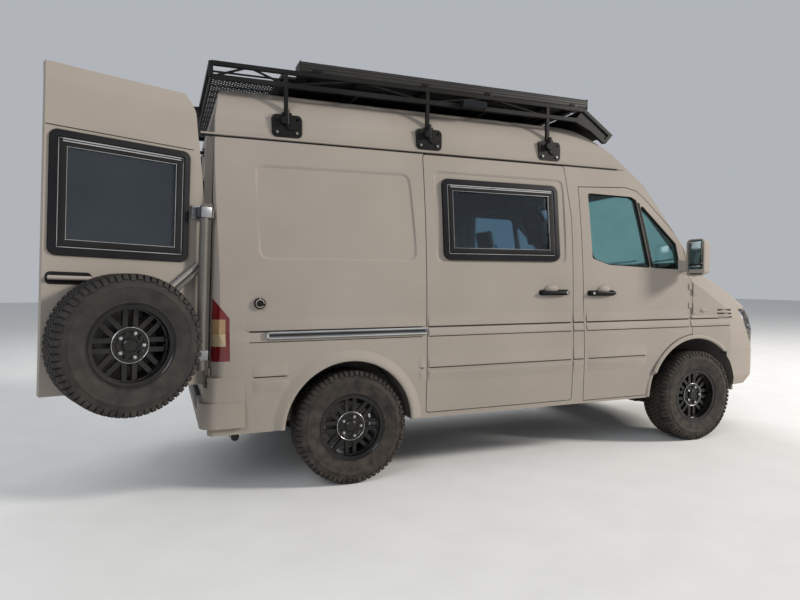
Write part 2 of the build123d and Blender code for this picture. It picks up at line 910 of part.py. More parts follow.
rear_bumper_front_x = -690.0
rear_bumper_foot = 442.0
rear_bumper_crease = 596.0
rear_bumper_step = 690.0
rear_bumper_top = 748.0
rear_bumper_back_x = -952.0
rear_bumper_upper_x = -924.0
with BuildPart() as rear_bumper:
    with BuildSketch(level(rear_bumper_foot)) as bumper_plan:
        with Locations(((rear_bumper_front_x + rear_bumper_back_x) / 2, 0)):
            Rectangle(rear_bumper_front_x - rear_bumper_back_x, 2 * half_width + 12)
        fillet(bumper_plan.vertices().sort_by(Axis.X)[0:2], 90)
    extrude(amount=rear_bumper_crease - rear_bumper_foot)
    with BuildSketch(level(rear_bumper_crease)) as upper_plan:
        with Locations(((rear_bumper_front_x + rear_bumper_upper_x) / 2, 0)):
            Rectangle(rear_bumper_front_x - rear_bumper_upper_x, 2 * half_width + 4)
        fillet(upper_plan.vertices().sort_by(Axis.X)[0:2], 70)
    extrude(amount=rear_bumper_top - rear_bumper_crease)
    add(box_between(
        (rear_bumper_back_x - 10, -half_width - 10, rear_bumper_step),
        (rear_face_x(sill_height) - seat_gap, half_width + 10, rear_bumper_top + 10),
    ), mode=Mode.SUBTRACT)
    add(deepcopy(outer), mode=Mode.SUBTRACT)
    add(box_between(
        (rear_face_x(sill_height) - seat_gap, -half_width + tuck_in + 5, 400),
        (rear_bumper_front_x + 1, half_width - tuck_in - 5, 800),
    ), mode=Mode.SUBTRACT)
rear_bumper.part.label = "rear_bumper"
export_step(rear_bumper.part, "parts/rear_bumper.step")

# Tail lamps.
with BuildPart() as lamp_rooms:
    for hand in (1, -1):
        add(lamp_block(hand))
with BuildPart() as tail_lamps:
    add(deepcopy(outer))
    add(lamp_rooms.part, mode=Mode.INTERSECT)
    add(deepcopy(inner), mode=Mode.SUBTRACT)
tail_lamps.part.label = "tail_lamps"
export_step(tail_lamps.part, "parts/tail_lamps.step")

# Rear doors, their windows, the ladder and the spare wheel.
hinge_foot = Vector(*rear_hinge_point(sill_height, 1)) + Vector(rear_axle_x, 0, 0)
hinge_head = Vector(*rear_hinge_point(gutter_height, 1)) + Vector(rear_axle_x, 0, 0)
hinge_line = Axis(hinge_foot, hinge_head - hinge_foot)


def opened(piece):
    """A piece of the right rear door, turned about its hinge to its open place."""
    return piece.rotate(hinge_line, rear_door_open)


rear_window_outline = [(28, 1437), (28, 2070), (748, 2070), (748, 1437)]
for name, hand in (("right", 1), ("left", -1)):
    with BuildSketch() as door_face:
        add(rear_door_sketch.sketch)
        with Locations((-hand * (600 + panel_gap / 2), 1500)):
            Rectangle(1200, 2400, mode=Mode.INTERSECT)
    with BuildSketch() as pane_face:
        with BuildLine():
            Polyline(*[(-hand * y, z) for y, z in rear_window_outline], close=True)
        make_face()
        fillet(pane_face.vertices(), 36)
    with BuildPart() as door_closed:
        add(deepcopy(shell.part))
        with BuildSketch(across(-1300)):
            add(door_face.sketch)
        extrude(amount=600, mode=Mode.INTERSECT)
        with BuildSketch(across(-1300)):
            add(pane_face.sketch)
        extrude(amount=600, mode=Mode.SUBTRACT)
        for hinge in door_hinges[name]:
            add(hinge["room_in_door"], mode=Mode.SUBTRACT)
            add(hinge["door"])
    with BuildPart() as pane_closed:
        add(deepcopy(glass_shell.part))
        with BuildSketch(across(-1300)):
            add(pane_face.sketch)
            offset(amount=-seat_gap, kind=Kind.INTERSECTION)
        extrude(amount=600, mode=Mode.INTERSECT)
    with BuildPart() as rear_door:
        add(opened(door_closed.part) if name == "right" else door_closed.part)
    rear_door.part.label = "rear_door_" + name
    export_step(rear_door.part, "parts/rear_door_" + name + ".step")
    with BuildPart() as rear_window:
        add(opened(pane_closed.part) if name == "right" else pane_closed.part)
    rear_window.part.label = "rear_window_" + name
    export_step(rear_window.part, "parts/rear_window_" + name + ".step")


def spare_plane(out):
    """The closed door's plane at the spare wheel, facing rearward."""
    x = rear_face_x(spare_height) - out
    return Plane(
        origin=(rear_axle_x + x, -rear_hinge_y + spare_reach, spare_height),
        x_dir=(0, 1, 0),
        z_dir=(-1, 0, rear_lean),
    )


# Tyre: a many-sided ring with chamfered shoulders and cuts between its shoulder lugs.
with BuildPart() as tyre_master:
    with BuildSketch(Plane.XY.offset(-tyre_width / 2)):
        RegularPolygon(
            tyre_radius, tread_sides, major_radius=False, rotation=180 / tread_sides
        )
    extrude(amount=tyre_width)
    rows = tyre_master.edges().group_by(Axis.Z)
    chamfer(rows[0] + rows[-1], tread_shoulder)
    with BuildSketch(Plane.XY.offset(-tyre_width / 2)):
        RegularPolygon(
            bead_radius, tread_sides, major_radius=False, rotation=180 / tread_sides
        )
    extrude(amount=tyre_width, mode=Mode.SUBTRACT)
    for out in (-1, 1):
        with BuildSketch(Plane.XY.offset(out * (tyre_width / 2 - tread_shoulder - lug_reach))):
            with PolarLocations(tyre_radius, tread_sides // 2):
                Rectangle(2 * lug_depth, lug_gap)
        extrude(amount=out * tyre_width, mode=Mode.SUBTRACT)

disc_z = hub_face_y - tyre_y
hub_depth = 40.0
with BuildPart() as rim_master:
    with BuildSketch(Plane.XZ):
        with BuildLine():
            Polyline(
                (rim_inner_radius, -rim_width / 2),
                (bead_radius - bead_gap, -rim_width / 2),
                (bead_radius - bead_gap, rim_width / 2),
                (rim_inner_radius, rim_width / 2),
                close=True,
            )
        make_face()
    revolve(axis=Axis.Z)
    with BuildSketch(Plane.XY.offset(disc_z)):
        with PolarLocations(0, spoke_count):
            with Locations((130, spoke_width), (130, -spoke_width)):
                Rectangle(2 * (rim_inner_radius - 130) + 4, spoke_width)
    extrude(amount=disc_thickness)
    with BuildSketch(Plane.XY.offset(disc_z)):
        Circle(hub_ring_radius)
    extrude(amount=disc_thickness)
    with BuildSketch(Plane.XY.offset(disc_z - hub_depth)):
        Circle(hub_bore_radius + 25)
    extrude(amount=hub_depth)
    with BuildSketch(Plane.XY.offset(disc_z - 50)):
        Circle(hub_bore_radius)
    extrude(amount=50 + disc_thickness - 6, mode=Mode.SUBTRACT)
    with BuildSketch(Plane.XY.offset(disc_z + disc_thickness)):
        with PolarLocations(lug_circle_radius, lug_count):
            RegularPolygon(lug_radius, 6)
    extrude(amount=14)

# Four road wheels and the spare: name, centre and outward direction.
wheel_places = [
    ("front_right", wheelbase, -tyre_y, -1),
    ("front_left", wheelbase, tyre_y, 1),
    ("rear_right", 0.0, -tyre_y, -1),
    ("rear_left", 0.0, tyre_y, 1),
]
for name, x, y, out in wheel_places:
    place = Plane(origin=(rear_axle_x + x, y, tyre_radius), x_dir=(1, 0, 0), z_dir=(0, out, 0))
    with BuildPart() as tyre:
        add(place.from_local_coords(tyre_master.part))
    tyre.part.label = "tyre_" + name
    export_step(tyre.part, "parts/tyre_" + name + ".step")
    with BuildPart() as rim:
        add(place.from_local_coords(rim_master.part))
    rim.part.label = "rim_" + name
    export_step(rim.part, "parts/rim_" + name + ".step")

spare_place = spare_plane(spare_out)
with BuildPart() as spare_tyre:
    add(opened(spare_place.from_local_coords(tyre_master.part)))
spare_tyre.part.label = "spare_tyre"
export_step(spare_tyre.part, "parts/spare_tyre.step")
with BuildPart() as spare_rim:
    add(opened(spare_place.from_local_coords(rim_master.part)))
spare_rim.part.label = "spare_rim"
export_step(spare_rim.part, "parts/spare_rim.step")

# Spare wheel carrier: an upright by the hinge edge, two brackets and a brace.
tube_radius = 25.0
tube_off = 56.0
brace_radius = 13.0
brace_off = 32.0
carrier_plane_x = rear_face_x(spare_height)
with BuildPart() as carrier_closed:
    low, high = 800.0, 1770.0
    post_y = -rear_hinge_y + 60
    low_x = rear_face_x(low) - tube_off
    with BuildSketch(Plane(
        origin=(rear_axle_x + low_x, post_y, low),
        z_dir=(rear_lean, 0, 1),
    )):
        Circle(tube_radius)
    extrude(amount=high - low)
    for z in (860.0, 1700.0):
        x = rear_face_x(z)
        add(box_between((x - tube_off, post_y - 12, z), (x - seat_gap, post_y + 12, z + 60)))
    hub_y = -rear_hinge_y + spare_reach
    finish = Vector(
        rear_axle_x + rear_face_x(spare_height) - brace_off, hub_y, spare_height
    )
    for z in (1400, 880):
        start = Vector(rear_axle_x + rear_face_x(z) - brace_off, post_y, z)
        with BuildSketch(Plane(origin=start, z_dir=finish - start)):
            Circle(brace_radius)
        extrude(amount=(finish - start).length)
    with BuildSketch(spare_plane(brace_off - brace_radius)):
        Circle(80)
    extrude(amount=spare_out - brace_off + brace_radius + disc_z - hub_depth - seat_gap)
with BuildPart() as spare_carrier:
    add(opened(carrier_closed.part))
spare_carrier.part.label = "spare_carrier"
export_step(spare_carrier.part, "parts/spare_carrier.step")

# Ladder on the left rear door.
ladder_radius = 12.5
ladder_off = 50.0
ladder_foot = 800.0
ladder_head = 2380.0
ladder_rails = (150.0, 480.0)
with BuildPart() as ladder:
    for y in ladder_rails:
        x = rear_face_x(ladder_foot) - ladder_off
        with BuildSketch(Plane(origin=(rear_axle_x + x, y, ladder_foot), z_dir=(rear_lean, 0, 1))):
            Circle(ladder_radius)
        extrude(amount=ladder_head - ladder_foot)
        for z in (860.0, 2300.0):
            x = rear_face_x(z)
            with BuildSketch(across(x - ladder_off)):
                with Locations((y, z)):
                    Circle(ladder_radius)
            extrude(amount=ladder_off + 10)
    for i in range(6):
        z = ladder_foot + 60 + i * 280
        x = rear_face_x(z) - ladder_off
        with BuildSketch(Plane(origin=(rear_axle_x + x, ladder_rails[0], z), z_dir=(0, 1, 0))):
            Circle(ladder_radius - 1.5)
        extrude(amount=ladder_rails[1] - ladder_rails[0])
    add(deepcopy(outer), mode=Mode.SUBTRACT)
ladder.part.label = "ladder"
export_step(ladder.part, "parts/ladder.step")

# Steering knuckles and the front axle that carries them.
rail_foot = 560.0
spindle_end = hub_face_y + disc_thickness - 12
with BuildPart() as knuckle_right:
    with BuildSketch(level(lower_arm_height + arm_thickness + seat_gap)):
        with Locations((wheelbase, -kingpin_y)):
            Circle(kingpin_radius + 6)
    extrude(amount=upper_arm_height - lower_arm_height - arm_thickness - 2 * seat_gap)
    with BuildSketch(side(-kingpin_y)):
        with Locations((wheelbase, tyre_radius)):
            Circle(hub_bore_radius - seat_gap)
    extrude(amount=spindle_end - kingpin_y)
knuckle_right.part.label = "knuckle_right"
export_step(knuckle_right.part, "parts/knuckle_right.step")
with BuildPart() as knuckle_left:
    add(mirror(knuckle_right.part, about=Plane.XZ, mode=Mode.PRIVATE))
knuckle_left.part.label = "knuckle_left"
export_step(knuckle_left.part, "parts/knuckle_left.step")

with BuildPart() as front_axle:
    for z in (lower_arm_height, upper_arm_height):
        for hand in (1, -1):
            with BuildSketch(level(z)):
                with BuildLine():
                    Polyline(
                        (wheelbase - 25, -hand * kingpin_y),
                        (wheelbase + 25, -hand * kingpin_y),
                        (wheelbase + 130, -hand * 360),
                        (wheelbase - 130, -hand * 360),
                        close=True,
                    )
                make_face()
                with Locations((wheelbase, -hand * kingpin_y)):
                    Circle(kingpin_radius + 6)
            extrude(amount=arm_thickness)
    add(box_between(
        (wheelbase - 150, -380, lower_arm_height), (wheelbase + 150, 380, lower_arm_height + 60)
    ))
    for hand in (1, -1):
        low_y, high_y = sorted((-hand * 340, -hand * 400))
        add(box_between(
            (wheelbase - 150, low_y, lower_arm_height), (wheelbase + 150, high_y, rail_foot - seat_gap)
        ))
front_axle.part.label = "front_axle"
export_step(front_axle.part, "parts/front_axle.step")

# Rear axle with its differential and leaf springs.
spring_top = rail_foot - seat_gap
with BuildPart() as rear_axle:
    with BuildSketch(Plane(origin=(rear_axle_x, -690, tyre_radius), z_dir=(0, 1, 0))):
        Circle(45)
    extrude(amount=1380)
    with BuildSketch(Plane(origin=(rear_axle_x, -spindle_end, tyre_radius), z_dir=(0, 1, 0))):
        Circle(hub_bore_radius - seat_gap)
    extrude(amount=2 * spindle_end)
    with BuildSketch(Plane(origin=(rear_axle_x - 110, 0, tyre_radius), z_dir=(1, 0, 0))):
        Circle(120)
    with BuildSketch(Plane(origin=(rear_axle_x + 190, 0, tyre_radius), z_dir=(1, 0, 0))):
        Circle(60)
    loft()
    for y in (-400, 400):
        with BuildSketch(side(y + 30)):
            with BuildLine():
                ThreePointArc((-620, 530), (0, tyre_radius + 38), (620, 530))
                Line((620, 530), (620, spring_top))
                ThreePointArc((620, spring_top), (0, tyre_radius + 70), (-620, spring_top))
                Line((-620, spring_top), (-620, 530))
            make_face()
        extrude(amount=60)
rear_axle.part.label = "rear_axle"
export_step(rear_axle.part, "parts/rear_axle.step")

# Chassis rails and cross members.
with BuildPart() as chassis:
    for hand in (1, -1):
        low_y, high_y = sorted((-hand * 370, -hand * 430))
        add(box_between(
            (-820, low_y, rail_foot), (3420, high_y, floor_height - floor_thickness - seat_gap)
        ))
    for x in (-780, 700, 1500, 2300):
        add(box_between((x, -400, rail_foot + 10), (x + 60, 400, floor_height - floor_thickness - 5)))
chassis.part.label = "chassis"
export_step(chassis.part, "parts/chassis.step")

with BuildPart() as engine:
    add(box_between((firewall_x + 2 * wall, -250, 480), (3640, 250, 1000)))
    add(box_between((3200, -370 + seat_gap, 580), (3300, 370 - seat_gap, 630)))
engine.part.label = "engine"
export_step(engine.part, "parts/engine.step")

with BuildPart() as fuel_tank:
    add(box_between((800, 480, 430), (1480, 850, floor_height - floor_thickness - seat_gap)))
fuel_tank.part.label = "fuel_tank"
export_step(fuel_tank.part, "parts/fuel_tank.step")

pipe_radius = 27.0
tail_radius = 30.0
tail_start = (-722.0, -585.0, 325.0)
tail_sleeve_y = -620.0
tail_end_y = -705.0
with BuildPart() as exhaust:
    for start, end in (
        ((3100, -300, 480), (2950, -300, 500)),
        ((2950, -300, 500), (-680, -300, 500)),
        ((-680, -300, 500), tail_start),
    ):
        add(tube_between(start, end, pipe_radius))
    for x, y, z in ((2950, -300, 500), (-680, -300, 500), tail_start):
        with BuildSketch(Plane(origin=(rear_axle_x + x, y, z - pipe_radius))):
            Circle(pipe_radius + 1)
        extrude(amount=2 * pipe_radius)
    tail_sleeve = (tail_start[0], tail_sleeve_y, tail_start[2])
    tail_end = (tail_start[0], tail_end_y, tail_start[2])
    add(tube_between(tail_start, tail_sleeve, pipe_radius))
    add(tube_between(tail_sleeve, tail_end, tail_radius))
    for x in (730, 1530):
        add(box_between((x - 15, -306, 500), (x + 15, -294, rail_foot + 10 - seat_gap)))
exhaust.part.label = "exhaust"
export_step(exhaust.part, "parts/exhaust.step")

# Dashboard, steering wheel and seats.
with BuildPart() as dashboard:
    with BuildSketch(side(front_housing_y + 300)):
        with BuildLine():
            Polyline(
                (2730, 1000),
                (2700, 1180),
                (2780, 1300),
                (firewall_x - seat_gap, 1330),
                (firewall_x - seat_gap, 1000),
                close=True,
            )
        make_face()
    extrude(amount=2 * (front_housing_y + 300))
dashboard.part.label = "dashboard"
export_step(dashboard.part, "parts/dashboard.step")

wheel_place = Plane(origin=(rear_axle_x + 2600, 430, 1200), z_dir=(-0.65, 0, 0.76))
with BuildPart() as steering_wheel:
    with BuildSketch(wheel_place):
        Circle(195)
        Circle(165, mode=Mode.SUBTRACT)
        Rectangle(350, 40)
        Circle(60)
    extrude(amount=25)
    with BuildSketch(wheel_place):
        Circle(28)
    extrude(amount=-220)
    add(deepcopy(dashboard.part), mode=Mode.SUBTRACT)
steering_wheel.part.label = "steering_wheel"
export_step(steering_wheel.part, "parts/steering_wheel.step")

with BuildPart() as seats:
    for y in (-430, 430):
        with BuildSketch(side(y + 240)):
            with BuildLine():
                Polyline(
                    (1900, floor_height + seat_gap),
                    (2260, floor_height + seat_gap),
                    (2260, 990),
                    (2380, 1010),
                    (2400, 1075),
                    (2360, 1130),
                    (2000, 1095),
                    (1860, 1600),
                    (1780, 1650),
                    (1715, 1600),
                    (1840, 1030),
                    close=True,
                )
            make_face()
        extrude(amount=480)
        with BuildSketch(side(y + 130)):
            with Locations(Location((1790, 1735, 0), (0, 0, 15))):
                RectangleRounded(90, 190, 30)
            with Locations(Location((1802, 1640, 0), (0, 0, 15))):
                Rectangle(30, 90)
        extrude(amount=260)
seats.part.label = "seats"
export_step(seats.part, "parts/seats.step")

# Roof rack, its deck and the awning case.
rack_y = 850.0
rack_low = 2558.0
rack_high = 2640.0
rack_radius = 14.0
rack_front_x = 1800.0
rack_rear_x = -860.0
rack_legs = (-410.0, 565.0, 1550.0)
awning_foot = rack_high + rack_radius + seat_gap
deck_bars = 11
deck_bar_width = 10.0
deck_front_x = -410.0
bracket_half = 95.0
fairing_thickness = 4.0
with BuildPart() as roof_rack:
    for y in (-rack_y, rack_y):
        add(bar_along(
            [(rack_rear_x, y, rack_low), (1800, y, rack_low), (1945, y, 2500), (2080, y, 2412)],
            2 * rack_radius,
        ))
        add(bar_along(
            [(rack_rear_x, y, rack_high), (1880, y, rack_high), (2135, y, 2470), (2080, y, 2412)],
            2 * rack_radius - 2,
        ))
        for x in (rack_rear_x, *rack_legs):
            foot = rack_low if x == rack_rear_x else cap_crease_height - 60
            add(bar_between((x, y, foot), (x, y, rack_high), 2 * rack_radius - 4))
        with BuildSketch(side(y + fairing_thickness / 2)):
            with BuildLine():
                Polyline(
                    (1800, rack_low),
                    (1880, rack_high),
                    (2135, 2470),
                    (2080, 2412),
                    (1945, 2500),
                    close=True,
                )
            make_face()
        extrude(amount=fairing_thickness)
    for hand in (1, -1):
        for x in rack_legs:
            with BuildSketch(side(-hand * 835)):
                with Locations((x, 2296)):
                    RectangleRounded(2 * bracket_half, 140, 30)
                with Locations((x, 2355)):
                    Rectangle(60, 50)
            extrude(amount=hand * 48)
    for x in (rack_rear_x, *rack_legs, 1790):
        add(bar_between((x, -rack_y, rack_high), (x, rack_y, rack_high), 2 * rack_radius - 1))
    for i in range(deck_bars):
        y = (i - (deck_bars - 1) / 2) * 140
        add(bar_between((rack_rear_x, y, rack_high), (deck_front_x, y, rack_high), deck_bar_width))
    with BuildSketch(side(rack_y)):
        with BuildLine():
            Polyline(
                (1876, rack_high), (1880, rack_high + 6), (2139, 2474), (2133, 2468), close=True
            )
        make_face()
    extrude(amount=2 * rack_y)
    add(deepcopy(outer), mode=Mode.SUBTRACT)
roof_rack.part.label = "roof_rack"
export_step(roof_rack.part, "parts/roof_rack.step")

# Work lamps on the rack: one at the right side and one over the rear doors.
with BuildPart() as rack_lamps:
    with BuildSketch(side(-rack_y - rack_radius - seat_gap)):
        with Locations((906, 2566)):
            RectangleRounded(192, 52, 8)
    extrude(amount=46)
    with BuildSketch(across(rack_rear_x - rack_radius - seat_gap)):
        with Locations((200, 2600)):
            RectangleRounded(150, 76, 8)
    extrude(amount=-55)
rack_lamps.part.label = "rack_lamps"
export_step(rack_lamps.part, "parts/rack_lamps.step")

with BuildPart() as awning:
    with BuildSketch(across(-313)):
        with Locations((-765, awning_foot + 40)):
            RectangleRounded(140, 80, 22)
    extrude(amount=1930 + 313)
awning.part.label = "awning_case"
export_step(awning.part, "parts/awning_case.step")

# Grille and headlamps.
slat_gaps = (866, 901, 936, 971)
slat_gap_height = 17
with BuildPart() as grille:
    add(deepcopy(outer))
    add(front_block(*grille_box, 1), mode=Mode.INTERSECT)
    add(deepcopy(inner), mode=Mode.SUBTRACT)
    for z in slat_gaps:
        add(box_between((3600, -400, z), (4100, -24, z + slat_gap_height)), mode=Mode.SUBTRACT)
    mirror(about=Plane.XZ)
grille.part.label = "grille"
export_step(grille.part, "parts/grille.step")
with BuildPart() as headlamp_rooms:
    for hand in (1, -1):
        add(headlamp_block(hand))
with BuildPart() as headlamps:
    add(deepcopy(outer))
    add(headlamp_rooms.part, mode=Mode.INTERSECT)
    add(deepcopy(inner), mode=Mode.SUBTRACT)
headlamps.part.label = "headlamps"
export_step(headlamps.part, "parts/headlamps.step")
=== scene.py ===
import math

import bmesh
import bpy
from mathutils import Matrix, Vector
from mathutils.bvhtree import BVHTree


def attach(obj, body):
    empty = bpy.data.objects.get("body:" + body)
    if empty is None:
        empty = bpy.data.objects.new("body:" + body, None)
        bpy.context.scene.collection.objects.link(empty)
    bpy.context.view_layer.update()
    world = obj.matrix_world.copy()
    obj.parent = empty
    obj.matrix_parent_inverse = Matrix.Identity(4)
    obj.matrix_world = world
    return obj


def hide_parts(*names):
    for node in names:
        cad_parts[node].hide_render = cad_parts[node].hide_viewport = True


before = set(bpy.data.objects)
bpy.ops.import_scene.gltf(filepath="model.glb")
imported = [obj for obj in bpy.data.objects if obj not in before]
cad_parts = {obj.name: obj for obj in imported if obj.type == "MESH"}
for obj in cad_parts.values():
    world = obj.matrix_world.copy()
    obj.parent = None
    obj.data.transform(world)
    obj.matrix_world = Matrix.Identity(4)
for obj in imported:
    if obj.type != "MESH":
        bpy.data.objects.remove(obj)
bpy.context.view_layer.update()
print("stage: frame loaded")

# Sizes in metres; X forward, Y left, Z up from the ground. Stations count from the rear axle.
rearAxleX = -1.11
wheelbase = 3.0
tyreRadius = 0.372
wheelY = 0.825
rearFootX = -0.905
rearFootZ = 0.397
rearLean = 0.0349
hingeY = 0.883
openAngle = 110.0
bodyTop = 2.203
hands = (1, -1)
sideName = {1: "right", -1: "left"}
sideTitle = {1: "Right", -1: "Left"}


def station(x):
    return rearAxleX + x


def at(x, y, z):
    # A point from its station, side and height.
    return Vector((station(x), y, z))


def span(middle, half):
    return middle - half, middle + half


def polar(radius, angle, z):
    return Vector((radius * math.cos(angle), radius * math.sin(angle), z))


def anglesRound(count, shift=0.0):
    return [2 * math.pi * (index + shift) / count for index in range(count)]


def rearFaceX(z):
    return rearFootX + (z - rearFootZ) * rearLean


def circleThrough(a, b, c):
    # Centre and radius of the circle through three points.
    ax, ay, bx, by, cx, cy = *a, *b, *c
    d = 2 * (ax * (by - cy) + bx * (cy - ay) + cx * (ay - by))
    ux = ((ax**2 + ay**2) * (by - cy) + (bx**2 + by**2) * (cy - ay) + (cx**2 + cy**2) * (ay - by)) / d
    uy = ((ax**2 + ay**2) * (cx - bx) + (bx**2 + by**2) * (ax - cx) + (cx**2 + cy**2) * (bx - ax)) / d
    return ux, uy, math.hypot(ax - ux, ay - uy)


# Section of the body side as half widths and heights: an arc between straight stretches.
sideFoot = [(0.943, 0.397), (0.966, 0.737), (0.966, 0.956), (0.958, 1.022)]
sideMiddle = (0.941, 1.663)
sideTop = [(0.881, bodyTop), (0.868, 2.32)]
arcY, arcZ, arcRadius = circleThrough(sideFoot[-1], sideMiddle, sideTop[0])


def sideY(z):
    # Half width of the body side at a height.
    if sideFoot[-1][1] <= z <= bodyTop:
        return arcY + math.sqrt(arcRadius**2 - (z - arcZ) ** 2)
    line = sideFoot if z < bodyTop else sideTop
    stretches = zip(line, line[1:])
    (y1, z1), (y2, z2) = next(pair for pair in stretches if z < pair[1][1] or pair[1] == line[-1])
    return y1 + (z - z1) / (z2 - z1) * (y2 - y1)


# Materials: every one has its own node graph.
materials = {}


def nodeMaker(material):
    tree = material.node_tree
    tree.nodes.clear()

    def make(kind, values=None, **settings):
        node = tree.nodes.new(kind)
        for key, value in settings.items():
            setattr(node, key, value)
        for key, value in (values or {}).items():
            socket = node.inputs[key]
            if isinstance(value, bpy.types.NodeSocket):
                tree.links.new(value, socket)
            else:
                socket.default_value = value
        return node

    return make


def rgb(colour):
    # A colour is three values, or one for a grey.
    return (*colour, 1.0) if isinstance(colour, tuple) else (colour, colour, colour, 1.0)


def addRamp(make, factor, stops):
    ramp = make("ShaderNodeValToRGB", {"Fac": factor})
    elements = ramp.color_ramp.elements
    while len(elements) < len(stops):
        elements.new(0.5)
    for element, (place, colour) in zip(elements, stops):
        element.position = place
        element.color = rgb(colour)
    return ramp.outputs["Color"]


def addMix(make, factor, base, colour):
    # One colour laid over a base by a factor.
    values = {"Factor": factor, "A": base, "B": rgb(colour)}
    return make("ShaderNodeMix", values, data_type="RGBA").outputs["Result"]


def makeMaterial(name, settings):
    # One surface: two tones mixed by noise, dust that gathers low down, and a fine bump.
    material = bpy.data.materials.new(name)
    material.use_nodes = True
    make = nodeMaker(material)
    coords = make("ShaderNodeTexCoord").outputs["Object"]

    def noise(scale, detail):
        return make("ShaderNodeTexNoise", {"Vector": coords, "Scale": scale, "Detail": detail}).outputs["Fac"]

    broad = noise(settings.get("broadScale", 3.0), 6.0)
    base = addRamp(make, broad, [(0.35, settings["dark"]), (0.65, settings["light"])])
    rough = settings["roughness"]
    if "dust" in settings:
        dust = settings["dust"]
        height = make("ShaderNodeSeparateXYZ", {"Vector": coords}).outputs["Z"]
        low = make(
            "ShaderNodeMapRange",
            {"Value": height, "From Min": dust["low"], "From Max": dust["high"], "To Min": 1.0, "To Max": 0.0},
        )
        patches = noise(dust.get("scale", 7.0), 8.0)
        spread = make("ShaderNodeMapRange", {"Value": patches, "From Min": 0.35, "From Max": 0.7})
        share = make(
            "ShaderNodeMath", {0: low.outputs["Result"], 1: spread.outputs["Result"]}, operation="MULTIPLY"
        )
        amount = make("ShaderNodeMath", {0: share.outputs[0], 1: dust["amount"]}, operation="MULTIPLY")
        base = addMix(make, amount.outputs[0], base, dust["colour"])
    bump = make(
        "ShaderNodeBump",
        {
            "Height": noise(settings.get("fineScale", 300.0), 3.0),
            "Strength": settings.get("bump", 0.15),
            "Distance": settings.get("bumpDistance", 0.002),
        },
    )
    gloss = make(
        "ShaderNodeMapRange",
        {"Value": broad, "To Min": max(0.0, rough - 0.06), "To Max": min(1.0, rough + 0.06)},
    )
    surface = make(
        "ShaderNodeBsdfPrincipled",
        {
            "Base Color": base,
            "Roughness": gloss.outputs["Result"],
            "Metallic": settings.get("metallic", 0.0),
            "Normal": bump.outputs["Normal"],
            "Transmission Weight": settings.get("transmission", 0.0),
            "Coat Weight": settings.get("coat", 0.0),
            "IOR": settings.get("ior", 1.45),
            "Specular IOR Level": settings.get("specular", 0.5),
            "Sheen Weight": settings.get("sheen", 0.0),
        },
    )
    make("ShaderNodeOutputMaterial", {"Surface": surface.outputs["BSDF"]})
    materials[name] = material


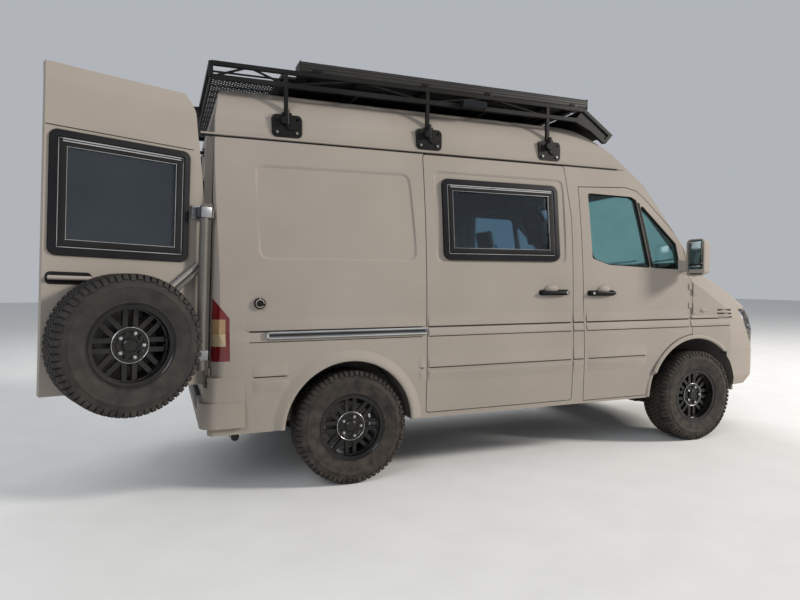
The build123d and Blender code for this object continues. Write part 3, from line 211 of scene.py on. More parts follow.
sand = (0.36, 0.3, 0.22)
surfaces = {
    "bodyCoat": {
        "dark": (0.243, 0.213, 0.183), "light": (0.272, 0.24, 0.208), "roughness": 0.78,
        "broadScale": 1.6, "fineScale": 420.0, "bump": 0.55, "bumpDistance": 0.0016,
        "dust": {"low": 0.35, "high": 1.15, "amount": 0.45, "colour": (0.27, 0.235, 0.185)},
    },
    "blackSteel": {
        "dark": 0.006, "light": 0.011, "roughness": 0.44, "specular": 0.14,
        "fineScale": 700.0, "bump": 0.25, "bumpDistance": 0.0006,
        "dust": {"low": 0.3, "high": 3.2, "amount": 0.03, "colour": sand},
    },
    "blackPlastic": {
        "dark": (0.006, 0.006, 0.008), "light": (0.011, 0.011, 0.013), "roughness": 0.42, "specular": 0.12,
        "fineScale": 900.0, "bump": 0.3, "bumpDistance": 0.0005,
        "dust": {"low": 0.3, "high": 2.4, "amount": 0.03, "colour": sand},
    },
    "rubber": {
        "dark": 0.006, "light": 0.011, "roughness": 0.7, "specular": 0.2,
        "fineScale": 500.0, "bump": 0.2, "bumpDistance": 0.0006,
    },
    "tyreRubber": {
        "dark": (0.018, 0.016, 0.015), "light": (0.026, 0.023, 0.02), "roughness": 0.86, "specular": 0.3,
        "broadScale": 9.0, "fineScale": 260.0, "bump": 0.45, "bumpDistance": 0.0015,
        "dust": {"low": 0.0, "high": 1.7, "amount": 0.6, "colour": (0.085, 0.066, 0.052), "scale": 18.0},
    },
    "rimBlack": {
        "dark": 0.003, "light": 0.006, "roughness": 0.26, "specular": 0.3,
        "fineScale": 600.0, "bump": 0.08, "bumpDistance": 0.0005, "coat": 0.15,
        "dust": {"low": 0.0, "high": 2.0, "amount": 0.04, "colour": sand},
    },
    "brightSteel": {
        "dark": (0.5, 0.5, 0.49), "light": (0.62, 0.62, 0.61), "roughness": 0.28, "metallic": 1.0,
        "fineScale": 240.0, "bump": 0.05, "bumpDistance": 0.0004,
    },
    "dullSteel": {
        "dark": (0.17, 0.165, 0.155), "light": (0.28, 0.27, 0.25), "roughness": 0.5, "metallic": 0.8,
        "fineScale": 300.0, "bump": 0.3, "bumpDistance": 0.0008,
        "dust": {"low": 0.1, "high": 0.9, "amount": 0.45, "colour": (0.2, 0.13, 0.08)},
    },
    "underSteel": {
        "dark": (0.025, 0.023, 0.021), "light": (0.05, 0.045, 0.04), "roughness": 0.75,
        "fineScale": 180.0, "bump": 0.5, "bumpDistance": 0.0015,
        "dust": {"low": 0.1, "high": 0.9, "amount": 0.5, "colour": (0.17, 0.13, 0.095)},
    },
    "castIron": {
        "dark": 0.07, "light": (0.13, 0.13, 0.125), "roughness": 0.7, "metallic": 0.5,
        "fineScale": 160.0, "bump": 0.6, "bumpDistance": 0.002,
        "dust": {"low": 0.3, "high": 1.0, "amount": 0.4, "colour": (0.2, 0.16, 0.12)},
    },
    "floorLining": {
        "dark": (0.06, 0.058, 0.056), "light": (0.1, 0.097, 0.092), "roughness": 0.8,
        "fineScale": 350.0, "bump": 0.4, "bumpDistance": 0.001,
        "dust": {"low": 0.3, "high": 0.9, "amount": 0.4, "colour": sand},
    },
    "wallLining": {
        "dark": (0.25, 0.245, 0.235), "light": (0.32, 0.315, 0.3), "roughness": 0.95,
        "fineScale": 500.0, "bump": 0.5, "bumpDistance": 0.001, "sheen": 0.3,
    },
    "seatCloth": {
        "dark": (0.3, 0.285, 0.26), "light": (0.42, 0.4, 0.37), "roughness": 0.95,
        "fineScale": 650.0, "bump": 0.6, "bumpDistance": 0.0012, "sheen": 0.5,
    },
    "dashPlastic": {
        "dark": (0.03, 0.031, 0.033), "light": (0.05, 0.051, 0.053), "roughness": 0.6,
        "fineScale": 700.0, "bump": 0.5, "bumpDistance": 0.0008,
    },
    "tintGlass": {
        "dark": (0.38, 0.66, 0.68), "light": (0.42, 0.71, 0.72), "roughness": 0.06,
        "transmission": 1.0, "bump": 0.0,
    },
    "darkGlass": {
        "dark": (0.26, 0.32, 0.44), "light": (0.29, 0.36, 0.48), "roughness": 0.06,
        "transmission": 1.0, "bump": 0.0,
    },
    # Painted shade: the dark tone of the strips laid in the flank's creases.
    "creaseShade": {
        "dark": (0.03, 0.026, 0.022), "light": (0.055, 0.048, 0.04), "roughness": 0.9, "specular": 0.1,
        "broadScale": 9.0, "fineScale": 300.0, "bump": 0.2, "bumpDistance": 0.0006,
    },
    "rearGlass": {
        "dark": (0.05, 0.06, 0.07), "light": (0.065, 0.075, 0.085), "roughness": 0.05,
        "transmission": 0.92, "bump": 0.0,
    },
    "caseGrey": {
        "dark": (0.02, 0.019, 0.018), "light": (0.028, 0.026, 0.025), "roughness": 0.45, "specular": 0.25,
        "fineScale": 500.0, "bump": 0.2, "bumpDistance": 0.0005,
    },
    "spareRubber": {
        "dark": (0.014, 0.013, 0.012), "light": (0.02, 0.018, 0.017), "roughness": 0.78, "specular": 0.35,
        "broadScale": 8.0, "fineScale": 260.0, "bump": 0.4, "bumpDistance": 0.0012,
        "dust": {"low": 0.4, "high": 2.0, "amount": 0.45, "colour": (0.075, 0.062, 0.05), "scale": 14.0},
    },
    "screenGlass": {
        "dark": (0.55, 0.72, 0.7), "light": (0.59, 0.76, 0.73), "roughness": 0.06,
        "transmission": 1.0, "bump": 0.0,
    },
    "railSteel": {
        "dark": (0.19, 0.2, 0.215), "light": (0.25, 0.26, 0.275), "roughness": 0.32, "metallic": 0.9,
        "fineScale": 400.0, "bump": 0.1, "bumpDistance": 0.0004,
        "dust": {"low": 0.6, "high": 1.4, "amount": 0.25, "colour": (0.2, 0.18, 0.15)},
    },
    "carrierGrey": {
        "dark": (0.085, 0.08, 0.072), "light": (0.12, 0.113, 0.1), "roughness": 0.55, "metallic": 0.3,
        "fineScale": 260.0, "bump": 0.3, "bumpDistance": 0.0008,
        "dust": {"low": 0.6, "high": 1.6, "amount": 0.4, "colour": (0.2, 0.17, 0.13)},
    },
    "clearLens": {
        "dark": (0.9, 0.92, 0.93), "light": (0.95, 0.96, 0.97), "roughness": 0.06,
        "transmission": 1.0, "bump": 0.05, "fineScale": 60.0, "ior": 1.3,
    },
    "mirrorFace": {
        "dark": (0.8, 0.81, 0.82), "light": (0.84, 0.85, 0.86), "roughness": 0.06,
        "metallic": 1.0, "bump": 0.0,
    },
    "amberLens": {
        "dark": (0.75, 0.24, 0.02), "light": (0.85, 0.3, 0.03), "roughness": 0.15, "coat": 1.0,
        "fineScale": 120.0, "bump": 0.3, "bumpDistance": 0.001,
    },
    "meshBlack": {
        "dark": 0.008, "light": 0.015, "roughness": 0.6,
        "fineScale": 500.0, "bump": 0.2, "bumpDistance": 0.0005,
    },
}
for surfaceName, surfaceSettings in surfaces.items():
    makeMaterial(surfaceName, surfaceSettings)


# Rear lamp lens: a red housing round bands of red, pale and amber, with fine flutes.
tailLens = {
    "low": 0.846, "high": 1.25, "housing": (0.105, 0.004, 0.006), "housingFrom": -0.8,
    "bands": [
        (0.0, (0.115, 0.004, 0.006)), (0.22, (0.36, 0.285, 0.175)), (0.4, (0.27, 0.175, 0.085)),
        (0.62, (0.11, 0.004, 0.006)),
    ],
    "flutes": 28.0, "bump": 0.35, "bumpDistance": 0.002, "roughness": 0.16, "coat": 0.5, "subsurface": 0.05,
}


def makeTailLens():
    material = bpy.data.materials.new("tailLens")
    material.use_nodes = True
    make = nodeMaker(material)
    coords = make("ShaderNodeTexCoord").outputs["Object"]
    parts = make("ShaderNodeSeparateXYZ", {"Vector": coords})
    values = {"Value": parts.outputs["Z"], "From Min": tailLens["low"], "From Max": tailLens["high"]}
    place = make("ShaderNodeMapRange", values)
    bands = addRamp(make, place.outputs["Result"], tailLens["bands"])
    bands.node.color_ramp.interpolation = "CONSTANT"
    values = {0: parts.outputs["X"], 1: station(tailLens["housingFrom"])}
    border = make("ShaderNodeMath", values, operation="GREATER_THAN")
    mixed = addMix(make, border.outputs[0], bands, tailLens["housing"])
    values = {"Vector": coords, "Scale": tailLens["flutes"], "Distortion": 0.0}
    flutes = make("ShaderNodeTexWave", values, bands_direction="Z")
    values = {"Height": flutes.outputs["Fac"], "Strength": tailLens["bump"], "Distance": tailLens["bumpDistance"]}
    bump = make("ShaderNodeBump", values)
    surface = make(
        "ShaderNodeBsdfPrincipled",
        {
            "Base Color": mixed, "Roughness": tailLens["roughness"], "Normal": bump.outputs["Normal"],
            "Coat Weight": tailLens["coat"], "Subsurface Weight": tailLens["subsurface"],
        },
    )
    make("ShaderNodeOutputMaterial", {"Surface": surface.outputs["BSDF"]})
    materials["tailLens"] = material


makeTailLens()
print("stage: materials")

nodeLooks = {
    "bodyCoat": [
        "side_wall_right", "side_wall_left", "sliding_door", "high_roof", "cab_front", "bonnet",
        "front_bumper", "rear_bumper", "front_door_right", "front_door_left",
        "rear_door_right", "rear_door_left", "mirror_right", "mirror_left",
    ],
    "tintGlass": ["door_glass_right", "door_glass_left"],
    "screenGlass": ["windscreen"],
    "darkGlass": ["sliding_window"],
    "rearGlass": ["rear_window_right", "rear_window_left"],
    "clearLens": ["headlamps"],
    "tailLens": ["tail_lamps"],
    "blackPlastic": ["grille", "steering_wheel"],
    "dashPlastic": ["dashboard"],
    "railSteel": ["slide_rail"],
    "caseGrey": ["awning_case"],
    "blackSteel": ["roof_rack", "ladder", "rack_lamps"],
    "dullSteel": ["exhaust"],
    "carrierGrey": ["spare_carrier"],
    "underSteel": ["chassis", "front_axle", "rear_axle", "knuckle_right", "knuckle_left", "fuel_tank"],
    "castIron": ["engine"],
    "floorLining": ["floor", "firewall"],
    "seatCloth": ["seats"],
    "rimBlack": ["rim_front_right", "rim_front_left", "rim_rear_right", "rim_rear_left", "spare_rim"],
    "tyreRubber": ["tyre_front_right", "tyre_front_left", "tyre_rear_right", "tyre_rear_left", "spare_tyre"],
}
for look, names in nodeLooks.items():
    for name in names:
        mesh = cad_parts[name].data
        mesh.materials.clear()
        mesh.materials.append(materials[look])


def shadeByAngle(mesh, degrees):
    # Smooth over round stretches, sharp at edges.
    bm = bmesh.new()
    bm.from_mesh(mesh)
    limit = math.radians(degrees)
    for face in bm.faces:
        face.smooth = True
    for edge in bm.edges:
        edge.smooth = len(edge.link_faces) == 2 and edge.calc_face_angle(0.0) < limit
    bm.to_mesh(mesh)
    bm.free()


def addToScene(name, data, place=(0, 0, 0), run=None):
    # An object that stands at a place and faces along a run.
    piece = bpy.data.objects.new(name, data)
    piece.location = place
    if run is not None:
        piece.rotation_mode = "QUATERNION"
        piece.rotation_quaternion = run.to_track_quat("-Z", "Y")
    bpy.context.scene.collection.objects.link(piece)
    return piece


def addPiece(name, bm, body, look, degrees=35.0, place=None):
    # A finished mesh becomes a named piece that rides on a body.
    mesh = bpy.data.meshes.new(name)
    if place is not None:
        bmesh.ops.transform(bm, matrix=place, verts=bm.verts)
    bmesh.ops.recalc_face_normals(bm, faces=bm.faces)
    bm.to_mesh(mesh)
    bm.free()
    shadeByAngle(mesh, degrees)
    mesh.materials.append(materials[look])
    piece = addToScene(name, mesh)
    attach(piece, body)
    return piece


def joinRows(bm, rows, around=True, ring=False, capped=False):
    # Faces between rows of vertices: around closes each row, ring joins the last row to the first.
    count = len(rows[0])
    for row, following in zip(rows, rows[1:] + rows[:1] if ring else rows[1:]):
        for index in range(count if around else count - 1):
            other = (index + 1) % count
            bm.faces.new((row[index], row[other], following[other], following[index]))
    if capped:
        bm.faces.new(rows[0])
        bm.faces.new(rows[-1])


def addBox(bm, x, y, z, bevel=0.0, segments=2):
    # A box from its ranges of station, side and height.
    low, high = (at(x[k], y[k], z[k]) for k in (0, 1))
    made = bmesh.ops.create_cube(bm, size=1.0)["verts"]
    bmesh.ops.scale(bm, vec=high - low, verts=made)
    bmesh.ops.translate(bm, vec=(high + low) / 2, verts=made)
    if bevel > 0:
        edges = list({edge for vertex in made for edge in vertex.link_edges})
        bmesh.ops.bevel(bm, geom=edges, offset=bevel, segments=segments, affect="EDGES", profile=0.7)


def addBoxPiece(name, boxes, look, body="body"):
    bm = bmesh.new()
    for box in boxes:
        addBox(bm, *box)
    addPiece(name, bm, body, look)


def addBall(bm, centre, size, around, down):
    # An ellipsoid with half axes.
    made = bmesh.ops.create_uvsphere(bm, u_segments=around, v_segments=down, radius=1.0)["verts"]
    bmesh.ops.scale(bm, vec=size, verts=made)
    bmesh.ops.translate(bm, vec=centre, verts=made)


def addRod(bm, start, end, radius, sides=12, endRadius=None):
    # A capped round rod or cone between two points.
    start, end = Vector(start), Vector(end)
    run = end - start
    made = bmesh.ops.create_cone(
        bm, cap_ends=True, segments=sides, radius1=radius,
        radius2=radius if endRadius is None else endRadius, depth=run.length,
    )["verts"]
    turn = run.to_track_quat("Z", "Y").to_matrix().to_4x4()
    bmesh.ops.transform(bm, matrix=Matrix.Translation((start + end) / 2) @ turn, verts=made)


def addTube(bm, points, radius, sides=10):
    # A tube through points, with one ring of vertices at each.
    rings = []
    side = None
    for index, point in enumerate(points):
        before = points[max(index - 1, 0)]
        after = points[min(index + 1, len(points) - 1)]
        run = (after - before).normalized()
        side = (run.orthogonal() if side is None else side - run * side.dot(run)).normalized()
        up = run.cross(side)
        rings.append([
            bm.verts.new(point + radius * (math.cos(a) * side + math.sin(a) * up)) for a in anglesRound(sides)
        ])
    joinRows(bm, rings, capped=True)


def addLathe(bm, profile, segments=64, closed=True):
    # A profile of (radius, height) turned about Z.
    rings = [[bm.verts.new(polar(r, a, z)) for r, z in profile] for a in anglesRound(segments)]
    joinRows(bm, rings, around=closed, ring=True)


def roundedOutline(points, radius, steps=5):
    # Corner points turned into an outline with round corners; radius is one value or a list.
    result = []
    count = len(points)
    radii = radius if isinstance(radius, list) else [radius] * count
    for index, radius in enumerate(radii):
        corner = Vector(points[index])
        before = (Vector(points[index - 1]) - corner).normalized()
        after = (Vector(points[(index + 1) % count]) - corner).normalized()
        half = math.acos(max(-1.0, min(1.0, before.dot(after)))) / 2
        reach = radius / math.tan(half)
        middle = corner + (before + after).normalized() * radius / math.sin(half)
        first = corner + before * reach - middle
        last = corner + after * reach - middle
        for step in range(steps + 1):
            share = step / steps
            arm = (first * (1 - share) + last * share).normalized() * radius
            result.append(middle + arm)
    return result


def movedInward(outline, distance):
    # The outline moved inward along its corner bisectors; negative moves it outward.
    count = len(outline)
    area = sum(
        outline[i][0] * outline[(i + 1) % count][1] - outline[(i + 1) % count][0] * outline[i][1]
        for i in range(count)
    )
    hand = 1 if area > 0 else -1
    result = []
    for index in range(count):
        before = (outline[index] - outline[index - 1]).normalized()
        after = (outline[(index + 1) % count] - outline[index]).normalized()
        run = (before + after).normalized()
        normal = Vector((-run.y, run.x)) * hand
        result.append(outline[index] + normal * distance / max(0.5, before.dot(run)))
    return result


def addBand(bm, outline, place, profile):
    # A closed band round an outline: profile holds (distance inward, depth below the skin).
    rings = [
        [bm.verts.new(place(point, depth)) for point in movedInward(outline, inward)] for inward, depth in profile
    ]
    joinRows(bm, rings, ring=True)


def addStrip(bm, place, start, end, section, steps=8, fade=0.0):
    # A pressed strip along the flank: section holds (height, proud) points, closed behind the skin.
    # With fade, it sinks into the skin over that length at both ends.
    stops = [start + fade + (end - start - 2 * fade) * step / steps for step in range(steps + 1)]
    shares = [1.0] * len(stops)
    if fade > 0:
        stops, shares = [start, *stops, end], [0.0, *shares, 0.0]
    rows = [
        [bm.verts.new(place((x, z), -proud * share + 0.002 * (1 - share))) for z, proud in section]
        for x, share in zip(stops, shares)
    ]
    joinRows(bm, rows, capped=True)


def treeOf(*names):
    # A search tree over CAD nodes, for finding where their skin lies.
    bm = bmesh.new()
    for name in names:
        bm.from_mesh(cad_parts[name].data)
    tree = BVHTree.FromBMesh(bm)
    bm.free()
    return tree


def skinPoint(tree, start, run):
    hit = tree.ray_cast(Vector(start), Vector(run))[0]
    if hit is None:
        hit = tree.find_nearest(Vector(start) + Vector(run) * 0.3)[0]
    return hit


def alongSide(tree, hand):
    # Places (station, height) points on the side of the body; hand 1 is right.
    def place(point, depth):
        x = station(point[0])
        hit = skinPoint(tree, (x, -hand * 1.3, point[1]), (0, hand, 0))
        return Vector((x, hit.y + hand * depth, point[1]))

    return place


def onFlank(hand):
    # Places (station, height) points on the plain flank; hand 1 is right.
    def place(point, depth):
        return at(point[0], -hand * (sideY(point[1]) - depth), point[1])

    return place


hingeUp = Vector((rearLean, 0, 1)).normalized()
rearHinge = at(rearFaceX(1.0) - 0.012, -hingeY, 1.0)
rearDoorTurn = (
    Matrix.Translation(rearHinge)
    @ Matrix.Rotation(math.radians(openAngle), 4, hingeUp)
    @ Matrix.Translation(-rearHinge)
)


def onRearDoor(hand):
    # Places (distance from the middle, height) points on a rear door; the right one stands open.
    def place(point, depth):
        spot = at(rearFaceX(point[1]) + depth, -hand * point[0], point[1])
        return rearDoorTurn @ spot if hand == 1 else spot

    return place


rearDoorBody = {1: "rear_door_right", -1: "rear_door_left"}
print("stage: helpers")

# Inner faces of the hollow panels take the cabin's lining.
lining = {
    "nodes": [
        "side_wall_right", "side_wall_left", "sliding_door", "high_roof",
        "front_door_right", "front_door_left", "rear_door_right", "rear_door_left",
    ],
    "doorFacing": 0.9, "facing": 0.45, "lengthPull": 0.12, "middleHeight": 1.3, "skinDepth": 0.03,
}
rearDoorBack = {
    "rear_door_right": rearDoorTurn.to_3x3() @ Vector((1, 0, 0)), "rear_door_left": Vector((1, 0, 0)),
}
for name in lining["nodes"]:
    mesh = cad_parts[name].data
    mesh.materials.append(materials["wallLining"])
    for face in mesh.polygons:
        centre, normal = face.center, face.normal
        if name in rearDoorBack:
            inner = normal.dot(rearDoorBack[name]) > lining["doorFacing"]
        else:
            toward = Vector((-lining["lengthPull"] * centre.x, -centre.y, lining["middleHeight"] - centre.z))
            depth = sideY(centre.z) - abs(centre.y)
            inner = normal.dot(toward.normalized()) > lining["facing"] and depth > lining["skinDepth"]
        if inner:
            face.material_index = 1

# Painted shade: the inner faces of the wheel arches take the dark underbody steel. Openings are station, height
# and how far the dark lining reaches.
archShade = {
    "nodes": ["side_wall_right", "side_wall_left", "cab_front", "front_bumper"],
    "openings": [(-0.02, 0.385, 0.465), (2.945, 0.386, 0.515)],
    "facing": 0.5,
}
for name in archShade["nodes"]:
    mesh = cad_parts[name].data
    mesh.materials.append(materials["underSteel"])
    for face in mesh.polygons:
        for x, z, reach in archShade["openings"]:
            arm = Vector((station(x) - face.center.x, 0, z - face.center.z))
            if arm.length < reach and face.normal.dot(arm.normalized()) > archShade["facing"]:
                face.material_index = len(mesh.materials) - 1

# Tyres: carcass, tread blocks in rows and shoulder lugs that run down the side wall.
# Profiles are (radius, distance across); each row is offset across, half width, skew and shift in pitch.
tyreSettings = {
    "grooveRadius": 0.362, "blockRadius": 0.3715, "blockFoot": 0.002, "blockTop": 0.84, "fill": 0.38,
    "segments": 104, "pitches": 70, "shoulderPitches": 64, "shoulderShift": 0.25,
    "rows": [
        (-0.055, 0.0135, 0.24, 0.0), (-0.026, 0.0125, -0.24, 0.5), (0.0, 0.0105, 0.24, 0.0),
        (0.026, 0.0125, -0.24, 0.5), (0.055, 0.0135, 0.24, 0.0),
    ],
    "carcass": [
        (0.2035, 0.098), (0.206, 0.099), (0.215, 0.1), (0.22, 0.106), (0.225, 0.11),
        (0.23, 0.1085), (0.255, 0.1165), (0.285, 0.1205), (0.3, 0.1212), (0.302, 0.1222),
        (0.305, 0.1222), (0.307, 0.1208), (0.33, 0.118), (0.348, 0.112),
    ],
    "grooveEdges": (0.096, 0.05), "bead": (0.2035, 0.04),
    "lugTop": [(0.3715, 0.074), (0.371, 0.1015), (0.366, 0.111), (0.352, 0.1195)],
    "lugFoot": [(0.36, 0.074), (0.36, 0.099), (0.356, 0.107), (0.347, 0.114)],
    "lugEnds": (0.336, 0.344), "lugEndTop": 0.1222, "lugEndFoot": 0.117, "lugEndDrop": 0.004, "lugWidth": 0.88,
}


def addBlock(bm, settings, angle, halfAngle, across, halfAcross, skew):
    # A tread block with a narrower top, on the tyre's drum.
    levels = (
        (settings["grooveRadius"] - settings["blockFoot"], 1.0), (settings["blockRadius"], settings["blockTop"]),
    )
    corners = []
    for r, shrink in levels:
        for sa, sz in ((-1, -1), (1, -1), (1, 1), (-1, 1)):
            a = angle + sa * halfAngle * shrink + sz * skew * halfAngle
            corners.append(bm.verts.new(polar(r, a, across + sz * halfAcross * shrink)))
    for quad in ((0, 1, 2, 3), (4, 5, 6, 7), (0, 1, 5, 4), (1, 2, 6, 5), (2, 3, 7, 6), (3, 0, 4, 7)):
        bm.faces.new([corners[index] for index in quad])


def addLug(bm, settings, angle, halfAngle, out, end):
    # A shoulder lug: from the tread's edge over the shoulder and down the side wall.
    top = settings["lugTop"] + [(end, settings["lugEndTop"])]
    foot = settings["lugFoot"] + [(end - settings["lugEndDrop"], settings["lugEndFoot"])]
    half = halfAngle * settings["lugWidth"]
    rows = []
    for (r, z), (footR, footZ) in zip(top, foot):
        section = (
            (footR, angle - halfAngle, footZ), (r, angle - half, z), (r, angle + half, z),
            (footR, angle + halfAngle, footZ),
        )
        rows.append([bm.verts.new(polar(radius, a, out * across)) for radius, a, across in section])
    joinRows(bm, rows, around=False, capped=True)


def makeTyreMesh(settings):
    bm = bmesh.new()
    half = settings["carcass"] + [(settings["grooveRadius"], across) for across in settings["grooveEdges"]]
    beadR, beadZ = settings["bead"]
    profile = half + [(r, -z) for r, z in reversed(half)] + [(beadR, -beadZ), (beadR, beadZ)]
    addLathe(bm, profile, settings["segments"])
    step = 2 * math.pi / settings["pitches"]
    for across, halfAcross, skew, shift in settings["rows"]:
        for index in range(settings["pitches"]):
            addBlock(bm, settings, (index + shift) * step, step * settings["fill"], across, halfAcross, skew)
    step = 2 * math.pi / settings["shoulderPitches"]
    for out in (1, -1):
        for index in range(settings["shoulderPitches"]):
            angle = (index + settings["shoulderShift"] * out) * step
            addLug(bm, settings, angle, step * settings["fill"], out, settings["lugEnds"][index % 2])
    mesh = bpy.data.meshes.new("tyreMesh")
    bmesh.ops.recalc_face_normals(bm, faces=bm.faces)
    bm.to_mesh(mesh)
    bm.free()
    shadeByAngle(mesh, degrees=32)
    mesh.materials.append(materials["tyreRubber"])
    return mesh


def wheelMatrix(centre, outward, up=(0, 0, 1)):
    # Turns Z to the outward direction and moves the origin to the centre.
    out = Vector(outward).normalized()
    side = Vector(up).cross(out).normalized()
    matrix = Matrix.Identity(4)
    for column, vector in enumerate((side, out.cross(side), out)):
        for row in range(3):
            matrix[row][column] = vector[row]
    return Matrix.Translation(centre) @ matrix


# Wheels: node of the tyre, body it rides on, and place.
spare = {"z": 0.985, "off": 0.172, "fromHinge": 0.516}
spareY = -hingeY + spare["fromHinge"]
spareCentre = at(rearFaceX(spare["z"]) - spare["off"], spareY, spare["z"])
wheels = {
    end.title() + sideTitle[hand]: (
        "tyre_" + end + "_" + sideName[hand], "wheel_" + end + "_" + sideName[hand],
        wheelMatrix(at(x, -hand * wheelY, tyreRadius), (0, -hand, 0)),
    )
    for end, x in (("front", wheelbase), ("rear", 0.0))
    for hand in (1, -1)
}
wheels["Spare"] = ("spare_tyre", "rear_door_right", rearDoorTurn @ wheelMatrix(spareCentre, (-1, 0, rearLean)))
# Wheel trim: profiles of (radius, height) turned about the axle, then nuts, rim bolts and valve.
# Rods that stand on the wheel are foot, top, radius, sides and top radius.
wheelTrim = {
    "hub": [(0.07, 0.056), (0.094, 0.056), (0.096, 0.062), (0.09, 0.0665), (0.074, 0.0665), (0.07, 0.063)],
    "cap": [(0.0, 0.054), (0.038, 0.054), (0.038, 0.07), (0.03, 0.076), (0.0, 0.077)],
    "brightRing": (0.0935, 0.0655, 0.0017),
    "nuts": {
        "count": 5, "shift": 0.0, "radius": 0.065,
        "rods": [(0.058, 0.08, 0.0118, 6, 0.01), (0.08, 0.084, 0.008, 12, 0.005)],
    },
    "edge": [
        (0.1915, 0.09), (0.201, 0.096), (0.214, 0.0985), (0.2195, 0.104), (0.219, 0.1085),
        (0.215, 0.108), (0.21, 0.103), (0.2, 0.1025), (0.194, 0.099), (0.1915, 0.094),
    ],
    "step": [
        (0.1905, 0.03), (0.1935, 0.03), (0.1935, 0.062), (0.185, 0.06), (0.185, 0.055), (0.1905, 0.052),
    ],
    "bolts": {"count": 16, "shift": 0.5, "radius": 0.1875, "rods": [(0.058, 0.064, 0.0048, 6, 0.0048)]},
    "valve": ((0.176, 0.0, 0.074), (0.162, 0.0, 0.098), 0.0045, 10),
    "disc": [
        (0.044, -0.03), (0.152, -0.03), (0.152, -0.01), (0.085, -0.01), (0.085, -0.0055), (0.044, -0.0055),
    ],
}


def addRing(bm, radius, z, thick, segments=64, sides=10):
    profile = [(radius + thick * math.cos(a), z + thick * math.sin(a)) for a in anglesRound(sides)]
    addLathe(bm, profile, segments)


def addStuds(bm, studs):
    # Rods that stand in a circle.
    for a in anglesRound(studs["count"], studs["shift"]):
        for foot, top, radius, sides, topRadius in studs["rods"]:
            ends = [polar(studs["radius"], a, z) for z in (foot, top)]
            addRod(bm, *ends, radius, sides, topRadius)


tyreMesh = makeTyreMesh(tyreSettings)
for key, (node, body, place) in wheels.items():
    mesh = tyreMesh.copy()
    mesh.transform(place)
    tyre = addToScene("tyre" + key, mesh)
    if key == "Spare":
        mesh.materials[0] = materials["spareRubber"]
    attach(tyre, body)
    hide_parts(node)

    bm = bmesh.new()
    addLathe(bm, wheelTrim["hub"])
    addLathe(bm, wheelTrim["cap"], 32, closed=False)
    addPiece("hubRing" + key, bm, body, "rimBlack", place=place)
    bm = bmesh.new()
    addRing(bm, *wheelTrim["brightRing"])
    addStuds(bm, wheelTrim["nuts"])
    addPiece("wheelBright" + key, bm, body, "brightSteel", place=place)
    bm = bmesh.new()
    addLathe(bm, wheelTrim["edge"])
    addLathe(bm, wheelTrim["step"])
    addStuds(bm, wheelTrim["bolts"])
    addRod(bm, *wheelTrim["valve"])
    addPiece("rimEdge" + key, bm, body, "rimBlack", place=place)
    if key != "Spare":
        bm = bmesh.new()
        addLathe(bm, wheelTrim["disc"])
        addPiece("brakeDisc" + key, bm, body, "dullSteel", place=place)
print("stage: wheels")

# Windows. Outlines are stations and heights, or distance from the middle and height, with a corner radius.
sideOutlines = {
    "doorGlass": (
        [(1.9, 1.5), (1.882, 2.000), (2.3, 1.992), (2.352, 1.968), (2.468, 1.432), (2.06, 1.452)], 0.02,
    ),
    "quarterGlass": ([(2.383, 1.95), (2.74, 1.63), (2.782, 1.422), (2.498, 1.431)], 0.016),
    "slidingWindow": ([(0.65, 1.478), (0.65, 2.03), (1.592, 2.03), (1.592, 1.478)], 0.045),
}
rearOutline = ([(0.028, 1.437), (0.028, 2.07), (0.748, 2.07), (0.748, 1.437)], 0.036)
screenOutline = ([(-0.77, 1.44), (-0.69, 2.11), (0.69, 2.11), (0.77, 1.44)], 0.06)
# Seal sections are distance inward and height over the glass; inner holds the inner line's corner radii.
sideSeal = {
    "section": [(0.001, 0.016), (0.001, 0.001), (0.01, 0.001), (0.008, 0.005), (0.003, 0.015)],
    "glassAt": 0.01, "outerLine": 0.002,
    "inner": {
        "doorGlass": [0.09, 0.04, 0.05, 0.05, 0.02, 0.02], "quarterGlass": [0.012, 0.016, 0.02, 0.016],
    },
    # The divider: rear station, front station and height, then how deep it sits and how proud it is.
    "divider": [
        (2.359, 2.381, 1.948), (2.387, 2.4105, 1.816), (2.4275, 2.452, 1.63), (2.469, 2.4955, 1.436),
    ],
    "dividerDepth": 0.004, "dividerProud": 0.0015,
}


def makeSideSeals(hand):
    name = "front_door_" + sideName[hand]
    skin = alongSide(treeOf(name, "door_glass_" + sideName[hand]), hand)
    bm = bmesh.new()
    for key, radii in sideSeal["inner"].items():
        outline = roundedOutline(*sideOutlines[key])
        softer = roundedOutline(sideOutlines[key][0], radii)
        # Depths count from the glass, which lies below the skin.
        glass = [skin(point, 0.0) for point in movedInward(outline, sideSeal["glassAt"])]
        rings = []
        for inward, out in sideSeal["section"]:
            ring = movedInward(outline if inward < sideSeal["outerLine"] else softer, inward)
            rings.append([bm.verts.new((station(p[0]), g.y - hand * out, p[1])) for p, g in zip(ring, glass)])
        joinRows(bm, rings, ring=True)
    # The divider between the two panes is as black as the seals.
    deep, proud = sideSeal["dividerDepth"], -sideSeal["dividerProud"]
    rows = []
    for rear, front, z in sideSeal["divider"]:
        section = ((rear, deep), (rear, proud), (front, proud), (front, deep))
        rows.append([bm.verts.new(skin((x, z), depth)) for x, depth in section])
    joinRows(bm, rows, around=False)
    addPiece("windowSeal" + sideTitle[hand], bm, name, "rubber")


for hand in hands:
    makeSideSeals(hand)

